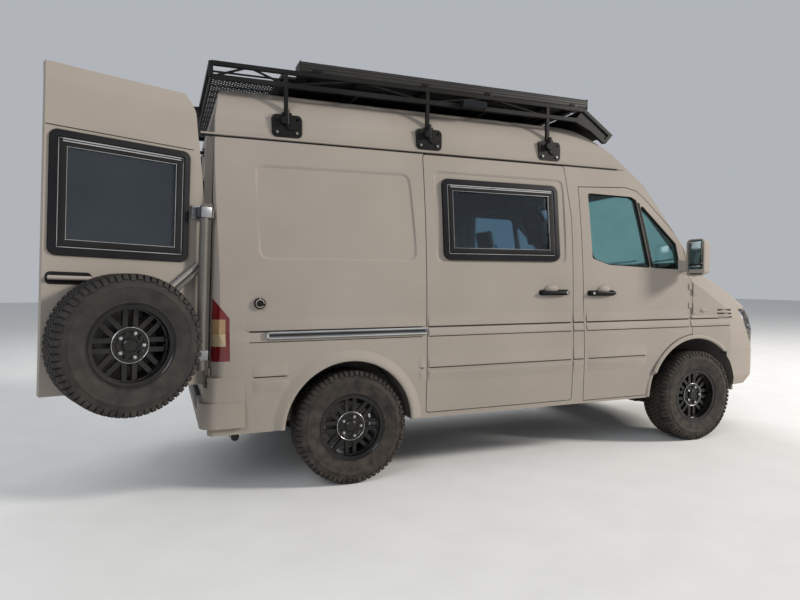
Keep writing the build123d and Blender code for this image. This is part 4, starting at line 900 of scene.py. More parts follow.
# Hinged acrylic windows: bands of (distance inward, depth) round a dark pane, and a hinge strip on top.
camperWindow = {
    "frame": [(-0.006, -0.001), (-0.002, -0.014), (0.03, -0.016), (0.036, -0.01), (0.036, 0.016), (0.001, 0.016)],
    "sash": [(0.04, 0.016), (0.04, -0.008), (0.047, -0.011), (0.072, -0.01), (0.076, -0.006), (0.076, 0.016)],
    "trims": [
        [(0.0365, 0.004), (0.0365, -0.0075), (0.0395, -0.0075), (0.0395, 0.004)],
        [(0.0765, 0.008), (0.0765, -0.007), (0.0785, -0.007), (0.0785, 0.008)],
    ],
    "hingeEnds": 0.055, "hingeDrop": 0.04, "hingeLines": (0.0, -0.012),
    "hingeProud": 0.0125, "hingeRadius": 0.0042,
}


def makeCamperWindow(name, outline, place, body):
    settings = camperWindow
    outer = roundedOutline(*outline)
    bm = bmesh.new()
    addBand(bm, outer, place, settings["frame"])
    addPiece(name + "Frame", bm, body, "blackPlastic")
    bm = bmesh.new()
    addBand(bm, outer, place, settings["sash"])
    addPiece(name + "Sash", bm, body, "rubber")
    bm = bmesh.new()
    for section in settings["trims"]:
        addBand(bm, outer, place, section)
    across, up = zip(*outline[0])
    low, high = min(across) + settings["hingeEnds"], max(across) - settings["hingeEnds"]
    top = max(up) - settings["hingeDrop"]
    for offset in settings["hingeLines"]:
        points = [
            place((low + (high - low) * k / 6, top + offset), -settings["hingeProud"]) for k in range(7)
        ]
        addTube(bm, points, settings["hingeRadius"], 8)
    addPiece(name + "Trim", bm, body, "brightSteel")


makeCamperWindow("slidingWindow", sideOutlines["slidingWindow"], onFlank(1), "body")
for hand in hands:
    makeCamperWindow("rearWindow" + sideTitle[hand], rearOutline, onRearDoor(hand), rearDoorBody[hand])

# Screen: seal section as above, and wipers parked low, given by side positions, heights and rises.
screenTrim = {
    "section": [(0.001, 0.014), (0.001, 0.001), (0.05, 0.001), (0.048, 0.003), (0.008, 0.006)], "glassAt": 0.012,
    "wipers": [(0.46, -0.1), (-0.12, -0.66)], "slope": (0.75, 0.65),
    "foot": {"z": 1.462, "out": 0.012, "radius": 0.016},
    "arm": {"shift": 0.0, "reach": 0.5, "z": 1.468, "rise": 0.035, "out": 0.026, "radius": 0.0055, "steps": 5},
    "blade": {"shift": 0.02, "reach": 1.04, "z": 1.488, "rise": 0.03, "out": 0.012, "radius": 0.006, "steps": 9},
}
screenTree = treeOf("windscreen")


def onScreen(y, z, out):
    hit = skinPoint(screenTree, (3.0, y, z), (-1, 0, 0))
    return hit + Vector((out * screenTrim["slope"][0], 0, out * screenTrim["slope"][1]))


def makeScreenTrim():
    outline = roundedOutline(*screenOutline)
    bm = bmesh.new()
    rings = []
    for inward, out in screenTrim["section"]:
        glass = [onScreen(p[0], p[1], 0.0) for p in movedInward(outline, max(inward, screenTrim["glassAt"]))]
        ring = movedInward(outline, inward)
        rings.append([bm.verts.new((g.x + out, p[0], p[1])) for p, g in zip(ring, glass)])
    joinRows(bm, rings, ring=True)
    addPiece("screenSeal", bm, "body", "rubber")
    bm = bmesh.new()
    for pivot, tip in screenTrim["wipers"]:
        settings = screenTrim["foot"]
        foot = onScreen(pivot, settings["z"], settings["out"])
        addRod(bm, foot - Vector((0.012, 0, 0.008)), foot + Vector((0.014, 0, 0.012)), settings["radius"], 14)
        for settings in (screenTrim["arm"], screenTrim["blade"]):
            steps = settings["steps"]
            points = [
                onScreen(
                    pivot + settings["shift"] + (tip - pivot) * settings["reach"] * k / steps,
                    settings["z"] + settings["rise"] * k / steps, settings["out"],
                )
                for k in range(steps + 1)
            ]
            addTube(bm, points, settings["radius"], 8)
    addPiece("wipers", bm, "body", "blackPlastic")


makeScreenTrim()
print("stage: windows")

# Handles: a bowed pull bar on two feet, with a dome on the skin above each side one.
# Feet are depth, height out, radius and sides.
sideBar = {
    "off": 0.02, "bow": 0.012, "radius": 0.012, "footIn": 0.01, "feet": (0.001, -0.024, 0.0125, 14),
}
sideHandles = {
    "Sliding": {"bar": (1.428, 1.66), "dome": 1.52, "lock": 1.64, "z": 1.243, "body": "body", "hand": 1},
    "DoorRight": {
        "bar": (1.862, 2.094), "dome": 2.000, "lock": 1.884, "z": 1.236, "body": "front_door_right", "hand": 1,
    },
    "DoorLeft": {
        "bar": (1.862, 2.094), "dome": 2.000, "lock": 1.884, "z": 1.236, "body": "front_door_left", "hand": -1,
    },
}
handleParts = {
    "plateMargin": (0.012, 0.018), "plateCorner": 0.014,
    "plate": [(-0.003, -0.0003), (0.0, -0.0045), (0.016, -0.004), (0.0175, -0.0003)],
    "domeUp": 0.026, "domeSize": (0.058, 0.024, 0.032), "lock": (-0.03, -0.0375, 0.01, 18, 0.0085),
}
rearHandle = {
    "plateOutline": ((0.02, 0.235), (1.285, 1.345), 0.022),
    "plate": [(-0.003, -0.0005), (0.0, -0.006), (0.022, -0.005), (0.024, -0.0005)],
    "lock": (0.128, 1.298), "lockRod": (0.0, -0.01, 0.011, 16), "ends": (0.026, 0.226, 1.318),
    "bar": {"off": 0.028, "bow": 0.006, "radius": 0.0115, "footIn": 0.01, "feet": (0.0, -0.032, 0.0115, 12)},
}


def addPeg(bm, place, spot, low, high, *shape):
    # A rod square to the skin, between two depths.
    addRod(bm, place(spot, low), place(spot, high), *shape)


def addPullBar(bm, place, start, end, z, bar):
    points = [
        place((start + (end - start) * k / 10, z), -bar["off"] - bar["bow"] * math.sin(math.pi * k / 10))
        for k in range(11)
    ]
    addTube(bm, points, bar["radius"], 12)
    for x in (start + bar["footIn"], end - bar["footIn"]):
        addPeg(bm, place, (x, z), *bar["feet"])


def addPlate(bm, place, across, up, corner, section):
    corners = [(across[0], up[0]), (across[1], up[0]), (across[1], up[1]), (across[0], up[1])]
    addBand(bm, roundedOutline(corners, corner), place, section)


for key, settings in sideHandles.items():
    place, body, z = onFlank(settings["hand"]), settings["body"], settings["z"]
    start, end = settings["bar"]
    bm = bmesh.new()
    addPullBar(bm, place, start, end, z, sideBar)
    side, rise = handleParts["plateMargin"]
    across = (start - side, end + side)
    addPlate(bm, place, across, span(z, rise), handleParts["plateCorner"], handleParts["plate"])
    addPiece("handle" + key, bm, body, "blackPlastic")
    bm = bmesh.new()
    addBall(bm, place((settings["dome"], z + handleParts["domeUp"]), 0.0), handleParts["domeSize"], 28, 14)
    addPiece("handleDome" + key, bm, body, "bodyCoat")
    bm = bmesh.new()
    addPeg(bm, place, (settings["lock"], z), *handleParts["lock"])
    addPiece("handleLock" + key, bm, body, "brightSteel")
for hand in hands:
    place = onRearDoor(hand)
    bm = bmesh.new()
    # The black bed behind the bar is painted shade for the handle's recess, with the lock in it.
    addPlate(bm, place, *rearHandle["plateOutline"], rearHandle["plate"])
    addPeg(bm, place, rearHandle["lock"], *rearHandle["lockRod"])
    addPiece("rearHandleBed" + sideTitle[hand], bm, rearDoorBody[hand], "blackPlastic")
    bm = bmesh.new()
    addPullBar(bm, place, *rearHandle["ends"], rearHandle["bar"])
    addPiece("rearHandleBar" + sideTitle[hand], bm, rearDoorBody[hand], "bodyCoat")

# The pressed recesses keep soft edges: a slope from the skin down to the recess floor.
recesses = {
    "quarter": ([(-0.6, 1.456), (-0.616, 2.042), (0.412, 2.052), (0.452, 1.456)], 0.06),
    "door": ([(0.588, 1.452), (0.588, 2.088), (1.66, 2.088), (1.66, 1.452)], 0.05),
    "slope": [
        (-0.001, 0.0002), (0.003, 0.001), (0.0075, 0.003), (0.012, 0.0052), (0.0165, 0.0066),
        (0.0175, 0.008), (-0.001, 0.008),
    ],
}
for hand, names in {1: ("quarter", "door"), -1: ("quarter",)}.items():
    bm = bmesh.new()
    for key in names:
        addBand(bm, roundedOutline(*recesses[key], 10), onFlank(hand), recesses["slope"])
    addPiece("recessSlope" + sideTitle[hand], bm, "body", "bodyCoat", degrees=50)

# Slide rail: a black strip on the slot's floor as painted shade inside the channel, and bright edges. Boxes are
# ranges of station, side and height, then bevel.
rail = {
    "slot": ((-0.544, 0.497), (-0.9716, -0.969), (0.9865, 1.0015)),
    "edges": [
        ((-0.558, 0.508), (-0.98, -0.977), (0.9722, 0.9797), 0.0014),
        ((-0.558, 0.508), (-0.98, -0.977), (1.008, 1.0155), 0.0014),
        ((-0.5595, -0.545), (-0.98, -0.977), (0.9722, 1.0155), 0.0014),
    ],
}
addBoxPiece("railSlotShade", [rail["slot"]], "meshBlack")
addBoxPiece("railEdges", rail["edges"], "brightSteel")

# Inlet cap on the right flank, with a ring and its strap in the body's colour.
inlet = {
    "x": -0.597, "z": 1.19, "cap": [(0.004, -0.016, 0.036, 36, 0.033), (-0.014, -0.026, 0.016, 24, 0.013)],
    "ring": {"radius": 0.0235, "proud": 0.0175, "thick": 0.0036, "parts": 32, "used": 30},
    "strap": ((0.004, 0.02, -0.018), (-0.004, 0.04, -0.012)), "strapRadius": 0.0045,
}
place = onFlank(1)
bm = bmesh.new()
for peg in inlet["cap"]:
    addPeg(bm, place, (inlet["x"], inlet["z"]), *peg)
addPiece("inletCap", bm, "body", "rubber")
bm = bmesh.new()
settings = inlet["ring"]
ring = [
    place(
        (inlet["x"] + settings["radius"] * math.cos(a), inlet["z"] + settings["radius"] * math.sin(a)),
        -settings["proud"],
    )
    for a in anglesRound(settings["parts"])[:settings["used"]]
]
addTube(bm, ring, settings["thick"], 8)
strap = [place((inlet["x"] + dx, inlet["z"] + dz), depth) for dx, dz, depth in inlet["strap"]]
addRod(bm, *strap, inlet["strapRadius"], 8)
addPiece("inletRing", bm, "body", "bodyCoat")

# Fenders: side repeaters and the vents' slats, which run from the rear end to the front end.
fender = {
    "repeater": (3.03, 1.085), "repeaterSize": (0.036, 0.01, 0.017),
    "vents": (1.02, 1.05, 1.08), "ventEnds": ((3.196, 0.0035), (3.36, -0.0005)), "slats": 3, "slatPitch": 0.0035,
    "slatProud": 0.0015, "slatBow": 0.0005, "slatRadius": 0.0036,
}
cabTree = treeOf("cab_front")
for hand in hands:
    place = alongSide(cabTree, hand)
    bm = bmesh.new()
    addBall(bm, place(fender["repeater"], 0.0), fender["repeaterSize"], 24, 12)
    addPiece("repeater" + sideTitle[hand], bm, "body", "bodyCoat")
    bm = bmesh.new()
    for z in fender["vents"]:
        for k in range(fender["slats"]):
            spots = [(x, z + lift + fender["slatPitch"] * k) for x, lift in fender["ventEnds"]]
            rear, front = (place(spot, -fender["slatProud"]) for spot in spots)
            middle = (rear + front) / 2 + Vector((0, -hand * fender["slatBow"], 0))
            addTube(bm, [rear, middle, front], fender["slatRadius"], 6)
    addPiece("ventSlats" + sideTitle[hand], bm, "body", "meshBlack")

# Pressings along the flank: a groove low down and a belt over it, cut at the panel gaps.
# Sections are heights and how far they stand proud, from the top down and back behind the skin.
pressings = {
    "upperLip": [
        (1.11, -0.0012), (1.09, 0.0004), (1.06, 0.003), (1.03, 0.0062), (1.0235, 0.0064),
        (1.022, -0.002), (1.06, -0.004),
    ],
    "fenderLip": [(1.042, -0.001), (1.032, 0.003), (1.0245, 0.0052), (1.0225, 0.0048), (1.0215, -0.002)],
    "beltSwell": [
        (1.0195, -0.0015), (1.0000, 0.003), (0.98, 0.0052), (0.962, 0.0056), (0.957, 0.004),
        (0.9545, -0.003),
    ],
    "grooveTop": [
        (0.85, -0.0012), (0.82, 0.0006), (0.79, 0.0024), (0.76, 0.0046), (0.747, 0.0056),
        (0.744, 0.005), (0.7435, -0.002), (0.8, -0.004),
    ],
    "grooveFoot": [
        (0.719, -0.002), (0.717, 0.0044), (0.7135, 0.0056), (0.7, 0.0048), (0.67, 0.0024),
        (0.63, -0.001), (0.67, -0.004),
    ],
    "beltFade": {"quarter": 0.03}, "grooveFade": {"sliding": 0.0, "pillar": 0.0}, "plainGrooveFade": 0.02,
    "shadeProud": 0.0006, "shadeDepth": 0.001,
}
# Painted shade: dark strips laid in the creases, given by the height of each line's top and bottom.
creases = {"belt": ((1.0222, 1.012), (0.956, 0.95)), "low": ((0.744, 0.736),)}
# Panels: body, then the stations where the belt and the groove start and end.
frontPanels = {"fender": ("body", 2.892, 3.33, None, None)}
panels = {
    1: {
        "quarter": ("body", -0.69, 0.508, -0.655, -0.415), "sill": ("body", None, None, 0.446, 0.508),
        "sliding": ("body", 0.53, 1.697, 0.53, 1.697), "pillar": ("body", 1.722, 1.813, 1.722, 1.813),
        "door": ("front_door_right", 1.842, 2.872, 1.842, 2.43), **frontPanels,
    },
    -1: {
        "quarter": ("body", -0.69, 1.813, -0.655, -0.415), "sill": ("body", None, None, 0.446, 1.813),
        "door": ("front_door_left", 1.842, 2.872, 1.842, 2.43), **frontPanels,
    },
}


def addPressings(bm, shadeStrips, place, ends, names, lines, steps, fade):
    start, end = ends
    for name in names:
        addStrip(bm, place, start, end, pressings[name], steps, fade)
    # The dark strips along each crease line are painted shade.
    out, back = pressings["shadeProud"], -pressings["shadeDepth"]
    for top, foot in lines:
        section = [(top, out), (foot, out), (foot, back), (top, back)]
        addStrip(shadeStrips, place, start + fade, end - fade, section, steps)


for hand, lengths in panels.items():
    for key, (body, beltStart, beltEnd, lowStart, lowEnd) in lengths.items():
        place = alongSide(cabTree, hand) if key == "fender" else onFlank(hand)
        bm, shadeStrips = bmesh.new(), bmesh.new()
        if beltStart is not None:
            names = ["fenderLip" if key == "fender" else "upperLip"]
            # The right quarter has the slide rail where the belt swells elsewhere.
            if not (hand == 1 and key == "quarter"):
                names.append("beltSwell")
            steps = 12 if key == "fender" else 4
            fade = pressings["beltFade"].get(key, 0.0)
            addPressings(bm, shadeStrips, place, (beltStart, beltEnd), names, creases["belt"], steps, fade)
        if lowStart is not None:
            names = ["grooveTop", "grooveFoot"]
            fade = pressings["grooveFade"].get(key, pressings["plainGrooveFade"])
            addPressings(bm, shadeStrips, place, (lowStart, lowEnd), names, creases["low"], 4, fade)
        addPiece(key + "Pressing" + sideTitle[hand], bm, body, "bodyCoat", degrees=30)
        addPiece(key + "ShadeLines" + sideTitle[hand], shadeStrips, body, "creaseShade", degrees=30)

# Rolled flares round the wheel openings: distance out from the opening and how far they stand proud.
# The front flare starts on the bumper's top edge.
flares = {
    "Rear": {
        "x": -0.02, "z": 0.385, "radius": 0.428, "start": 2.0,
        "section": [
            (-0.0015, -0.003), (-0.0015, 0.0105), (0.003, 0.0155), (0.012, 0.0175), (0.026, 0.015),
            (0.042, 0.009), (0.06, 0.003), (0.076, -0.001), (0.04, -0.004),
        ],
    },
    "Front": {
        "x": 2.945, "z": 0.386, "radius": 0.47, "start": math.degrees(math.asin((0.738 - 0.386) / 0.47)),
        "section": [
            (-0.0015, -0.003), (-0.0015, 0.0105), (0.003, 0.015), (0.012, 0.0165), (0.024, 0.013),
            (0.0312, 0.0085), (0.0312, -0.003),
        ],
    },
}
flareRun = {"end": 178.0, "steps": 48, "skinAt": 0.012, "sink": 0.008}


def addFlare(bm, hand, tree, flare):
    rows = []
    for step in range(flareRun["steps"] + 1):
        a = math.radians(flare["start"] + (flareRun["end"] - flare["start"]) * step / flareRun["steps"])
        run = Vector((math.cos(a), math.sin(a)))
        middle = Vector((flare["x"], flare["z"]))
        base = middle + run * (flare["radius"] + flareRun["skinAt"])
        outer = abs(alongSide(tree, hand)(base, 0.0).y) - flareRun["sink"]
        rows.append([])
        for out, proud in flare["section"]:
            spot = middle + run * (flare["radius"] + out)
            bend = sideY(spot.y) - sideY(base.y)
            rows[-1].append(bm.verts.new(at(spot.x, -hand * (outer + bend + proud), spot.y)))
    joinRows(bm, rows, capped=True)


for hand in hands:
    sideTree = treeOf("side_wall_" + sideName[hand], "cab_front")
    for key, flare in flares.items():
        bm = bmesh.new()
        addFlare(bm, hand, sideTree, flare)
        addPiece("flare" + key + sideTitle[hand], bm, "body", "bodyCoat", degrees=30)

# Drip rail: a lip with a dark seam under it, a sealing strip that also paints the shade under the lip.
drip = {
    "ends": (-0.925, 2.18),
    "lip": [(2.2185, -0.003), (2.216, 0.012), (2.211, 0.015), (2.206, 0.0135), (2.2045, -0.003)],
    "seam": [(2.204, -0.002), (2.2035, 0.0035), (2.195, 0.0025), (2.1935, -0.002)],
}
for hand in hands:
    for key, section, look in (("dripLip", "lip", "bodyCoat"), ("dripSealShade", "seam", "rubber")):
        bm = bmesh.new()
        addStrip(bm, onFlank(hand), *drip["ends"], drip[section], 6)
        addPiece(key + sideTitle[hand], bm, "body", look)
print("stage: handles and trim")

# Mirrors: a dark bed behind the rim, a tall glass and a wide-angle glass under it.
# Boxes are station range, half width, height range and bevel.
mirror = {
    "y": 1.095, "bed": [((2.794, 2.7998), 0.0745, (1.382, 1.65), 0.002)],
    "glasses": [
        ((2.789, 2.794), 0.067, (1.462, 1.642), 0.002), ((2.789, 2.794), 0.067, (1.39, 1.45), 0.002),
    ],
}
for hand in hands:
    for key, parts, look in (("mirrorBed", "bed", "rubber"), ("mirrorGlass", "glasses", "mirrorFace")):
        boxes = [(x, span(-hand * mirror["y"], half), z, bevel) for x, half, z, bevel in mirror[parts]]
        addBoxPiece(key + sideTitle[hand], boxes, look, "front_door_" + sideName[hand])
print("stage: mirrors")

# Roof rack: expanded mesh on the rear deck, struts, and platform panels over the cross bars.
rack = {
    "low": 2.558, "high": 2.64, "y": 0.85, "rear": -0.86, "deckFront": -0.41,
    "meshPitch": 0.034, "meshUp": 0.012, "meshRadius": 0.0034, "meshShortest": 0.01,
    "legs": (-0.86, -0.41, 0.565, 1.55), "lowBars": (-0.86, -0.41, 0.075, 1.06), "highBars": (0.075, 1.06),
    "strutRadius": 0.0075, "lowBarRadius": 0.009, "highBarRadius": 0.011,
}


def addDeckMesh(bm):
    # Slanting rods both ways over the deck, each clipped at the deck's sides.
    half = rack["y"]
    reach = rack["deckFront"] - rack["rear"]
    z = rack["low"] + rack["meshUp"]
    for lean in (1, -1):
        first = -half - reach if lean == 1 else -half
        for index in range(int((2 * half + reach) / rack["meshPitch"])):
            start = first + index * rack["meshPitch"]
            end = start + reach * lean
            if max(start, end) < -half or min(start, end) > half:
                continue
            clipped = []
            for x, y, otherX, otherY in ((0.0, start, reach, end), (reach, end, 0.0, start)):
                limit = max(-half, min(half, y))
                share = 0.0 if y == limit else (limit - y) / (otherY - y)
                clipped.append((x + (otherX - x) * share, limit))
            if abs(clipped[0][0] - clipped[1][0]) >= rack["meshShortest"]:
                ends = [at(rack["rear"] + x, y, z) for x, y in clipped]
                addRod(bm, *ends, rack["meshRadius"], 5)


bm = bmesh.new()
addDeckMesh(bm)
addPiece("deckMesh", bm, "body", "meshBlack")
# Bracket plates: bolts, then the clamp knob, the ear that the strut's foot is bolted to, and the foot.
# Rods are start along and up, end along and up, length out, radius, sides and end radius.
brackets = {
    "x": (-0.41, 0.565, 1.55), "y": 0.883, "z": 2.296, "boltX": (-0.062, 0.062),
    "lowBolt": (-0.042, 0.009, 0.009), "highBolt": (0.04, 0.008, 0.0085),
    "rods": [
        (-0.02, 0.03, 0.03, 0.03, 0.026, 20, 0.022), (0.034, 0.018, 0.018, 0.008, 0.044, 28, 0.044),
        (0.0, 0.01, 0.1, 0.004, 0.015, 12, 0.015),
    ],
}
bolts, knobs = bmesh.new(), bmesh.new()
for side in (-1, 1):
    out = Vector((0, side, 0))
    for x in brackets["x"]:
        face = at(x, 0, brackets["z"]) + out * brackets["y"]
        for target, (up, length, radius) in ((bolts, brackets["lowBolt"]), (knobs, brackets["highBolt"])):
            for dx in brackets["boltX"]:
                spot = face + Vector((dx, 0, up))
                addRod(target, spot, spot + out * length, radius, 6)
        for dx, startUp, endUp, length, *shape in brackets["rods"]:
            start, end = face + Vector((dx, 0, startUp)), face + Vector((dx, 0, endUp)) + out * length
            addRod(knobs, start, end, *shape)
addPiece("bracketBolts", bolts, "body", "dullSteel")
addPiece("bracketKnobs", knobs, "body", "blackSteel")
bm = bmesh.new()
for y in (-rack["y"], rack["y"]):
    for start, end in zip(rack["legs"], rack["legs"][1:]):
        middle = (start + end) / 2
        addRod(bm, at(start, y, rack["low"]), at(middle, y, rack["high"]), rack["strutRadius"], 10)
        addRod(bm, at(middle, y, rack["high"]), at(end, y, rack["low"]), rack["strutRadius"], 10)
for level in ("low", "high"):
    for x in rack[level + "Bars"]:
        ends = [at(x, y, rack[level]) for y in (-rack["y"], rack["y"])]
        addRod(bm, *ends, rack[level + "BarRadius"], 12)
addPiece("rackStruts", bm, "body", "blackSteel")
# Platform panels, each with three ribs below, in near black that is partly painted shade for their undersides
# seen between the rails.
panel = {
    "ends": (-0.395, 0.555, 1.54, 1.865), "gap": 0.004, "overhang": 0.022, "y": (-0.688, 0.84),
    "z": (2.6538, 2.672), "bevel": 0.003, "ribs": (0.25, 0.5, 0.75), "ribHalf": 0.012, "ribY": (-0.66, 0.82),
    "ribZ": (2.64, 2.654), "ribBevel": 0.002,
}
boxes = []
for start, end in zip(panel["ends"], panel["ends"][1:]):
    front = end + panel["overhang"] if end == panel["ends"][-1] else end - panel["gap"]
    boxes.append(((start + panel["gap"], front), panel["y"], panel["z"], panel["bevel"]))
    for share in panel["ribs"]:
        along = span(start + (end - start) * share, panel["ribHalf"])
        boxes.append((along, panel["ribY"], panel["ribZ"], panel["ribBevel"]))
addBoxPiece("rackPanelsShaded", boxes, "meshBlack")

# Awning case: end caps, front seams and brackets.
awning = {
    "rear": -0.313, "front": 1.93, "y": (-0.835, -0.695), "z": (2.6543, 2.7343),
    "seams": [(2.688, 2.6912), (2.708, 2.7098)], "brackets": (-0.2, 0.565, 1.06, 1.8), "bracketHalf": 0.03,
}
y1, y2 = awning["y"]
z1, z2 = awning["z"]
boxes = [
    (span(x, 0.002), (y1 - 0.002, y2 + 0.002), (z1 + 0.001, z2 - 0.001), 0.001)
    for x in (awning["rear"], awning["front"])
]
addBoxPiece("awningCaps", boxes, "blackPlastic")
along = (awning["rear"] + 0.01, awning["front"] - 0.01)
addBoxPiece("awningSeam", [(along, (y1 - 0.0015, y1 + 0.002), z) for z in awning["seams"]], "rubber")
bm = bmesh.new()
for x in awning["brackets"]:
    along = span(x, awning["bracketHalf"])
    addBox(bm, along, (y1 - 0.004, y2 + 0.01), (z1 - 0.016, z1 - 0.001), 0.002)
    addBox(bm, along, (y1 - 0.006, y1 - 0.002), (z1 - 0.016, z1 + 0.03), 0.001)
    addRod(bm, at(x, y1 - 0.004, z1 + 0.015), at(x, y1 - 0.011, z1 + 0.015), 0.007, 6)
addPiece("awningBrackets", bm, "body", "blackSteel")

# Lamps on the rack: bright cups and the lenses over them, on the side lamp and the rear lamp.
lamps = {
    "sideFace": -0.9103, "rearFace": -0.9293, "cup": (0.001, -0.0015), "lens": (-0.004, -0.002),
    "sideCups": {"x": 0.83, "pitch": 0.0304, "count": 6, "z": 2.566, "radius": 0.012},
    "rearCups": {"y": 0.149, "pitch": 0.034, "count": 4, "z": (2.583, 2.617), "radius": 0.0125},
    "sideLens": ((0.814, 0.998), (2.545, 2.587)), "rearLens": ((0.13, 0.27), (2.566, 2.634)), "bevel": 0.001,
}
bm = bmesh.new()
cups = lamps["sideCups"]
for k in range(cups["count"]):
    ends = [at(cups["x"] + cups["pitch"] * k, lamps["sideFace"] + out, cups["z"]) for out in lamps["cup"]]
    addRod(bm, *ends, cups["radius"], 16)
cups = lamps["rearCups"]
for z in cups["z"]:
    for k in range(cups["count"]):
        ends = [at(lamps["rearFace"] + out, cups["y"] + cups["pitch"] * k, z) for out in lamps["cup"]]
        addRod(bm, *ends, cups["radius"], 16)
addPiece("rackLampCups", bm, "body", "dullSteel")
sideOut, rearOut = ([lamps[key] + out for out in lamps["lens"]] for key in ("sideFace", "rearFace"))
boxes = [
    (lamps["sideLens"][0], sideOut, lamps["sideLens"][1], lamps["bevel"]),
    (rearOut, *lamps["rearLens"], lamps["bevel"]),
]
addBoxPiece("rackLampLenses", boxes, "rearGlass")
print("stage: roof")

# Ladder: grips on the rungs, and feet with two bolts each on the door.
ladder = {
    "rungs": 6, "firstRung": 0.86, "rungPitch": 0.28, "off": 0.05, "gripY": (0.172, 0.458), "gripRadius": 0.0135,
    "feetY": (0.15, 0.48), "feetZ": (0.86, 2.3), "foot": (0.005, 0.0005), "footHalf": (0.026, 0.034),
    "boltUp": (-0.024, 0.024), "bolt": (0.0045, 0.011), "boltRadius": 0.006,
}
bm = bmesh.new()
for index in range(ladder["rungs"]):
    z = ladder["firstRung"] + ladder["rungPitch"] * index
    ends = [at(rearFaceX(z) - ladder["off"], y, z) for y in ladder["gripY"]]
    addRod(bm, *ends, ladder["gripRadius"], 12)
addPiece("ladderGrips", bm, "rear_door_left", "rubber")
bm = bmesh.new()
for y in ladder["feetY"]:
    for z in ladder["feetZ"]:
        x = rearFaceX(z)
        along = (x - ladder["foot"][0], x + ladder["foot"][1])
        addBox(bm, along, span(y, ladder["footHalf"][0]), span(z, ladder["footHalf"][1]), 0.003)
        for dz in ladder["boltUp"]:
            addRod(bm, *(at(x - off, y, z + dz) for off in ladder["bolt"]), ladder["boltRadius"], 6)
addPiece("ladderFeet", bm, "rear_door_left", "blackSteel")

# Spare wheel carrier: clamps on the post by the hinge, and a plate with two arms behind the wheel.
carrier = {
    "postY": -0.823, "clampZ": (0.89, 1.73), "clampX": (-0.088, -0.026), "clampHalf": (0.032, 0.03),
    "bedX": (-0.014, -0.0005), "bedY": (-0.055, 0.06), "bedHalf": 0.038, "bevel": 0.004,
    "boltY": (-0.042, 0.046), "boltUp": (-0.024, 0.024), "bolt": (0.013, 0.022), "boltRadius": 0.0085,
    "plateX": (-0.012, -0.0005), "plateHalf": 0.11, "armOff": 0.02, "armRadius": 0.017,
    "arms": [((-0.44, 0.44), (-0.06, 0.09)), ((-0.44, -0.11), (-0.08, -0.06))],
    "studs": 6, "studCircle": 0.092, "stud": (-0.012, -0.02), "studRadius": 0.008,
}
bm = bmesh.new()
for z in carrier["clampZ"]:
    x, y = rearFaceX(z), carrier["postY"]
    halfY, halfZ = carrier["clampHalf"]
    addBox(bm, [x + off for off in carrier["clampX"]], span(y, halfY), span(z, halfZ), carrier["bevel"])
    bedX, bedY = [x + off for off in carrier["bedX"]], [y + off for off in carrier["bedY"]]
    addBox(bm, bedX, bedY, span(z, carrier["bedHalf"]), carrier["bevel"])
    for dy in carrier["boltY"]:
        for dz in carrier["boltUp"]:
            addRod(bm, *(at(x - off, y + dy, z + dz) for off in carrier["bolt"]), carrier["boltRadius"], 6)
addPiece("carrierFittings", bm, "rear_door_right", "railSteel", place=rearDoorTurn)
bm = bmesh.new()
hubX, hubZ = rearFaceX(spare["z"]), spare["z"]
plateY, plateZ = (span(middle, carrier["plateHalf"]) for middle in (spareY, hubZ))
addBox(bm, [hubX + off for off in carrier["plateX"]], plateY, plateZ, carrier["bevel"])
for arm in carrier["arms"]:
    first, last = (at(rearFaceX(hubZ + up) - carrier["armOff"], spareY + side, hubZ + up) for side, up in arm)
    addTube(bm, [first, (first + last) / 2, last], carrier["armRadius"], 10)
for a in anglesRound(carrier["studs"]):
    side, up = carrier["studCircle"] * math.cos(a), carrier["studCircle"] * math.sin(a)
    ends = [at(hubX + off, spareY + side, hubZ + up) for off in carrier["stud"]]
    addRod(bm, *ends, carrier["studRadius"], 6)
addPiece("carrierPlate", bm, "rear_door_right", "dullSteel", place=rearDoorTurn)
seam = {"y": (0.006, 0.25, 0.5, 0.772), "z": 2.092, "proud": 0.0008, "radius": 0.0022}
for hand in hands:
    bm = bmesh.new()
    addTube(bm, [onRearDoor(hand)((y, seam["z"]), -seam["proud"]) for y in seam["y"]], seam["radius"], 6)
    addPiece("doorSeam" + sideTitle[hand], bm, rearDoorBody[hand], "rubber")
print("stage: rear door fittings")

# Black step pad with ribs on the rear bumper.
stepPad = {
    "back": -0.952, "front": -0.924, "halfWidth": 0.64, "faceZ": (0.512, 0.592), "topZ": (0.59, 0.5985),
    "ribs": 31, "firstRib": -0.6, "ribPitch": 0.04, "ribHalf": 0.008, "ribZ": (0.598, 0.6015),
}
back, front, across = stepPad["back"], stepPad["front"], span(0.0, stepPad["halfWidth"])
boxes = [
    ((back - 0.004, back + 0.01), across, stepPad["faceZ"], 0.004),
    ((back - 0.002, front - 0.001), across, stepPad["topZ"], 0.0015),
]
for index in range(stepPad["ribs"]):
    y = stepPad["firstRib"] + stepPad["ribPitch"] * index
    boxes.append(((back + 0.002, front - 0.003), span(y, stepPad["ribHalf"]), stepPad["ribZ"], 0.001))
addBoxPiece("stepPad", boxes, "blackPlastic")

# The exhaust's dark bore and bright lip.
exhaust = {
    "x": -0.722, "y": (-0.7055, -0.7045), "z": 0.325, "boreRadius": 0.0265, "lip": (0.0283, 0.0, 0.0017, 40, 8),
}
bm = bmesh.new()
ends = [at(exhaust["x"], y, exhaust["z"]) for y in exhaust["y"]]
addRod(bm, *ends, exhaust["boreRadius"], 32)
addPiece("exhaustBore", bm, "body", "meshBlack")
bm = bmesh.new()
addRing(bm, *exhaust["lip"])
addPiece("exhaustLip", bm, "body", "brightSteel", place=wheelMatrix(ends[0], (0, -1, 0)))

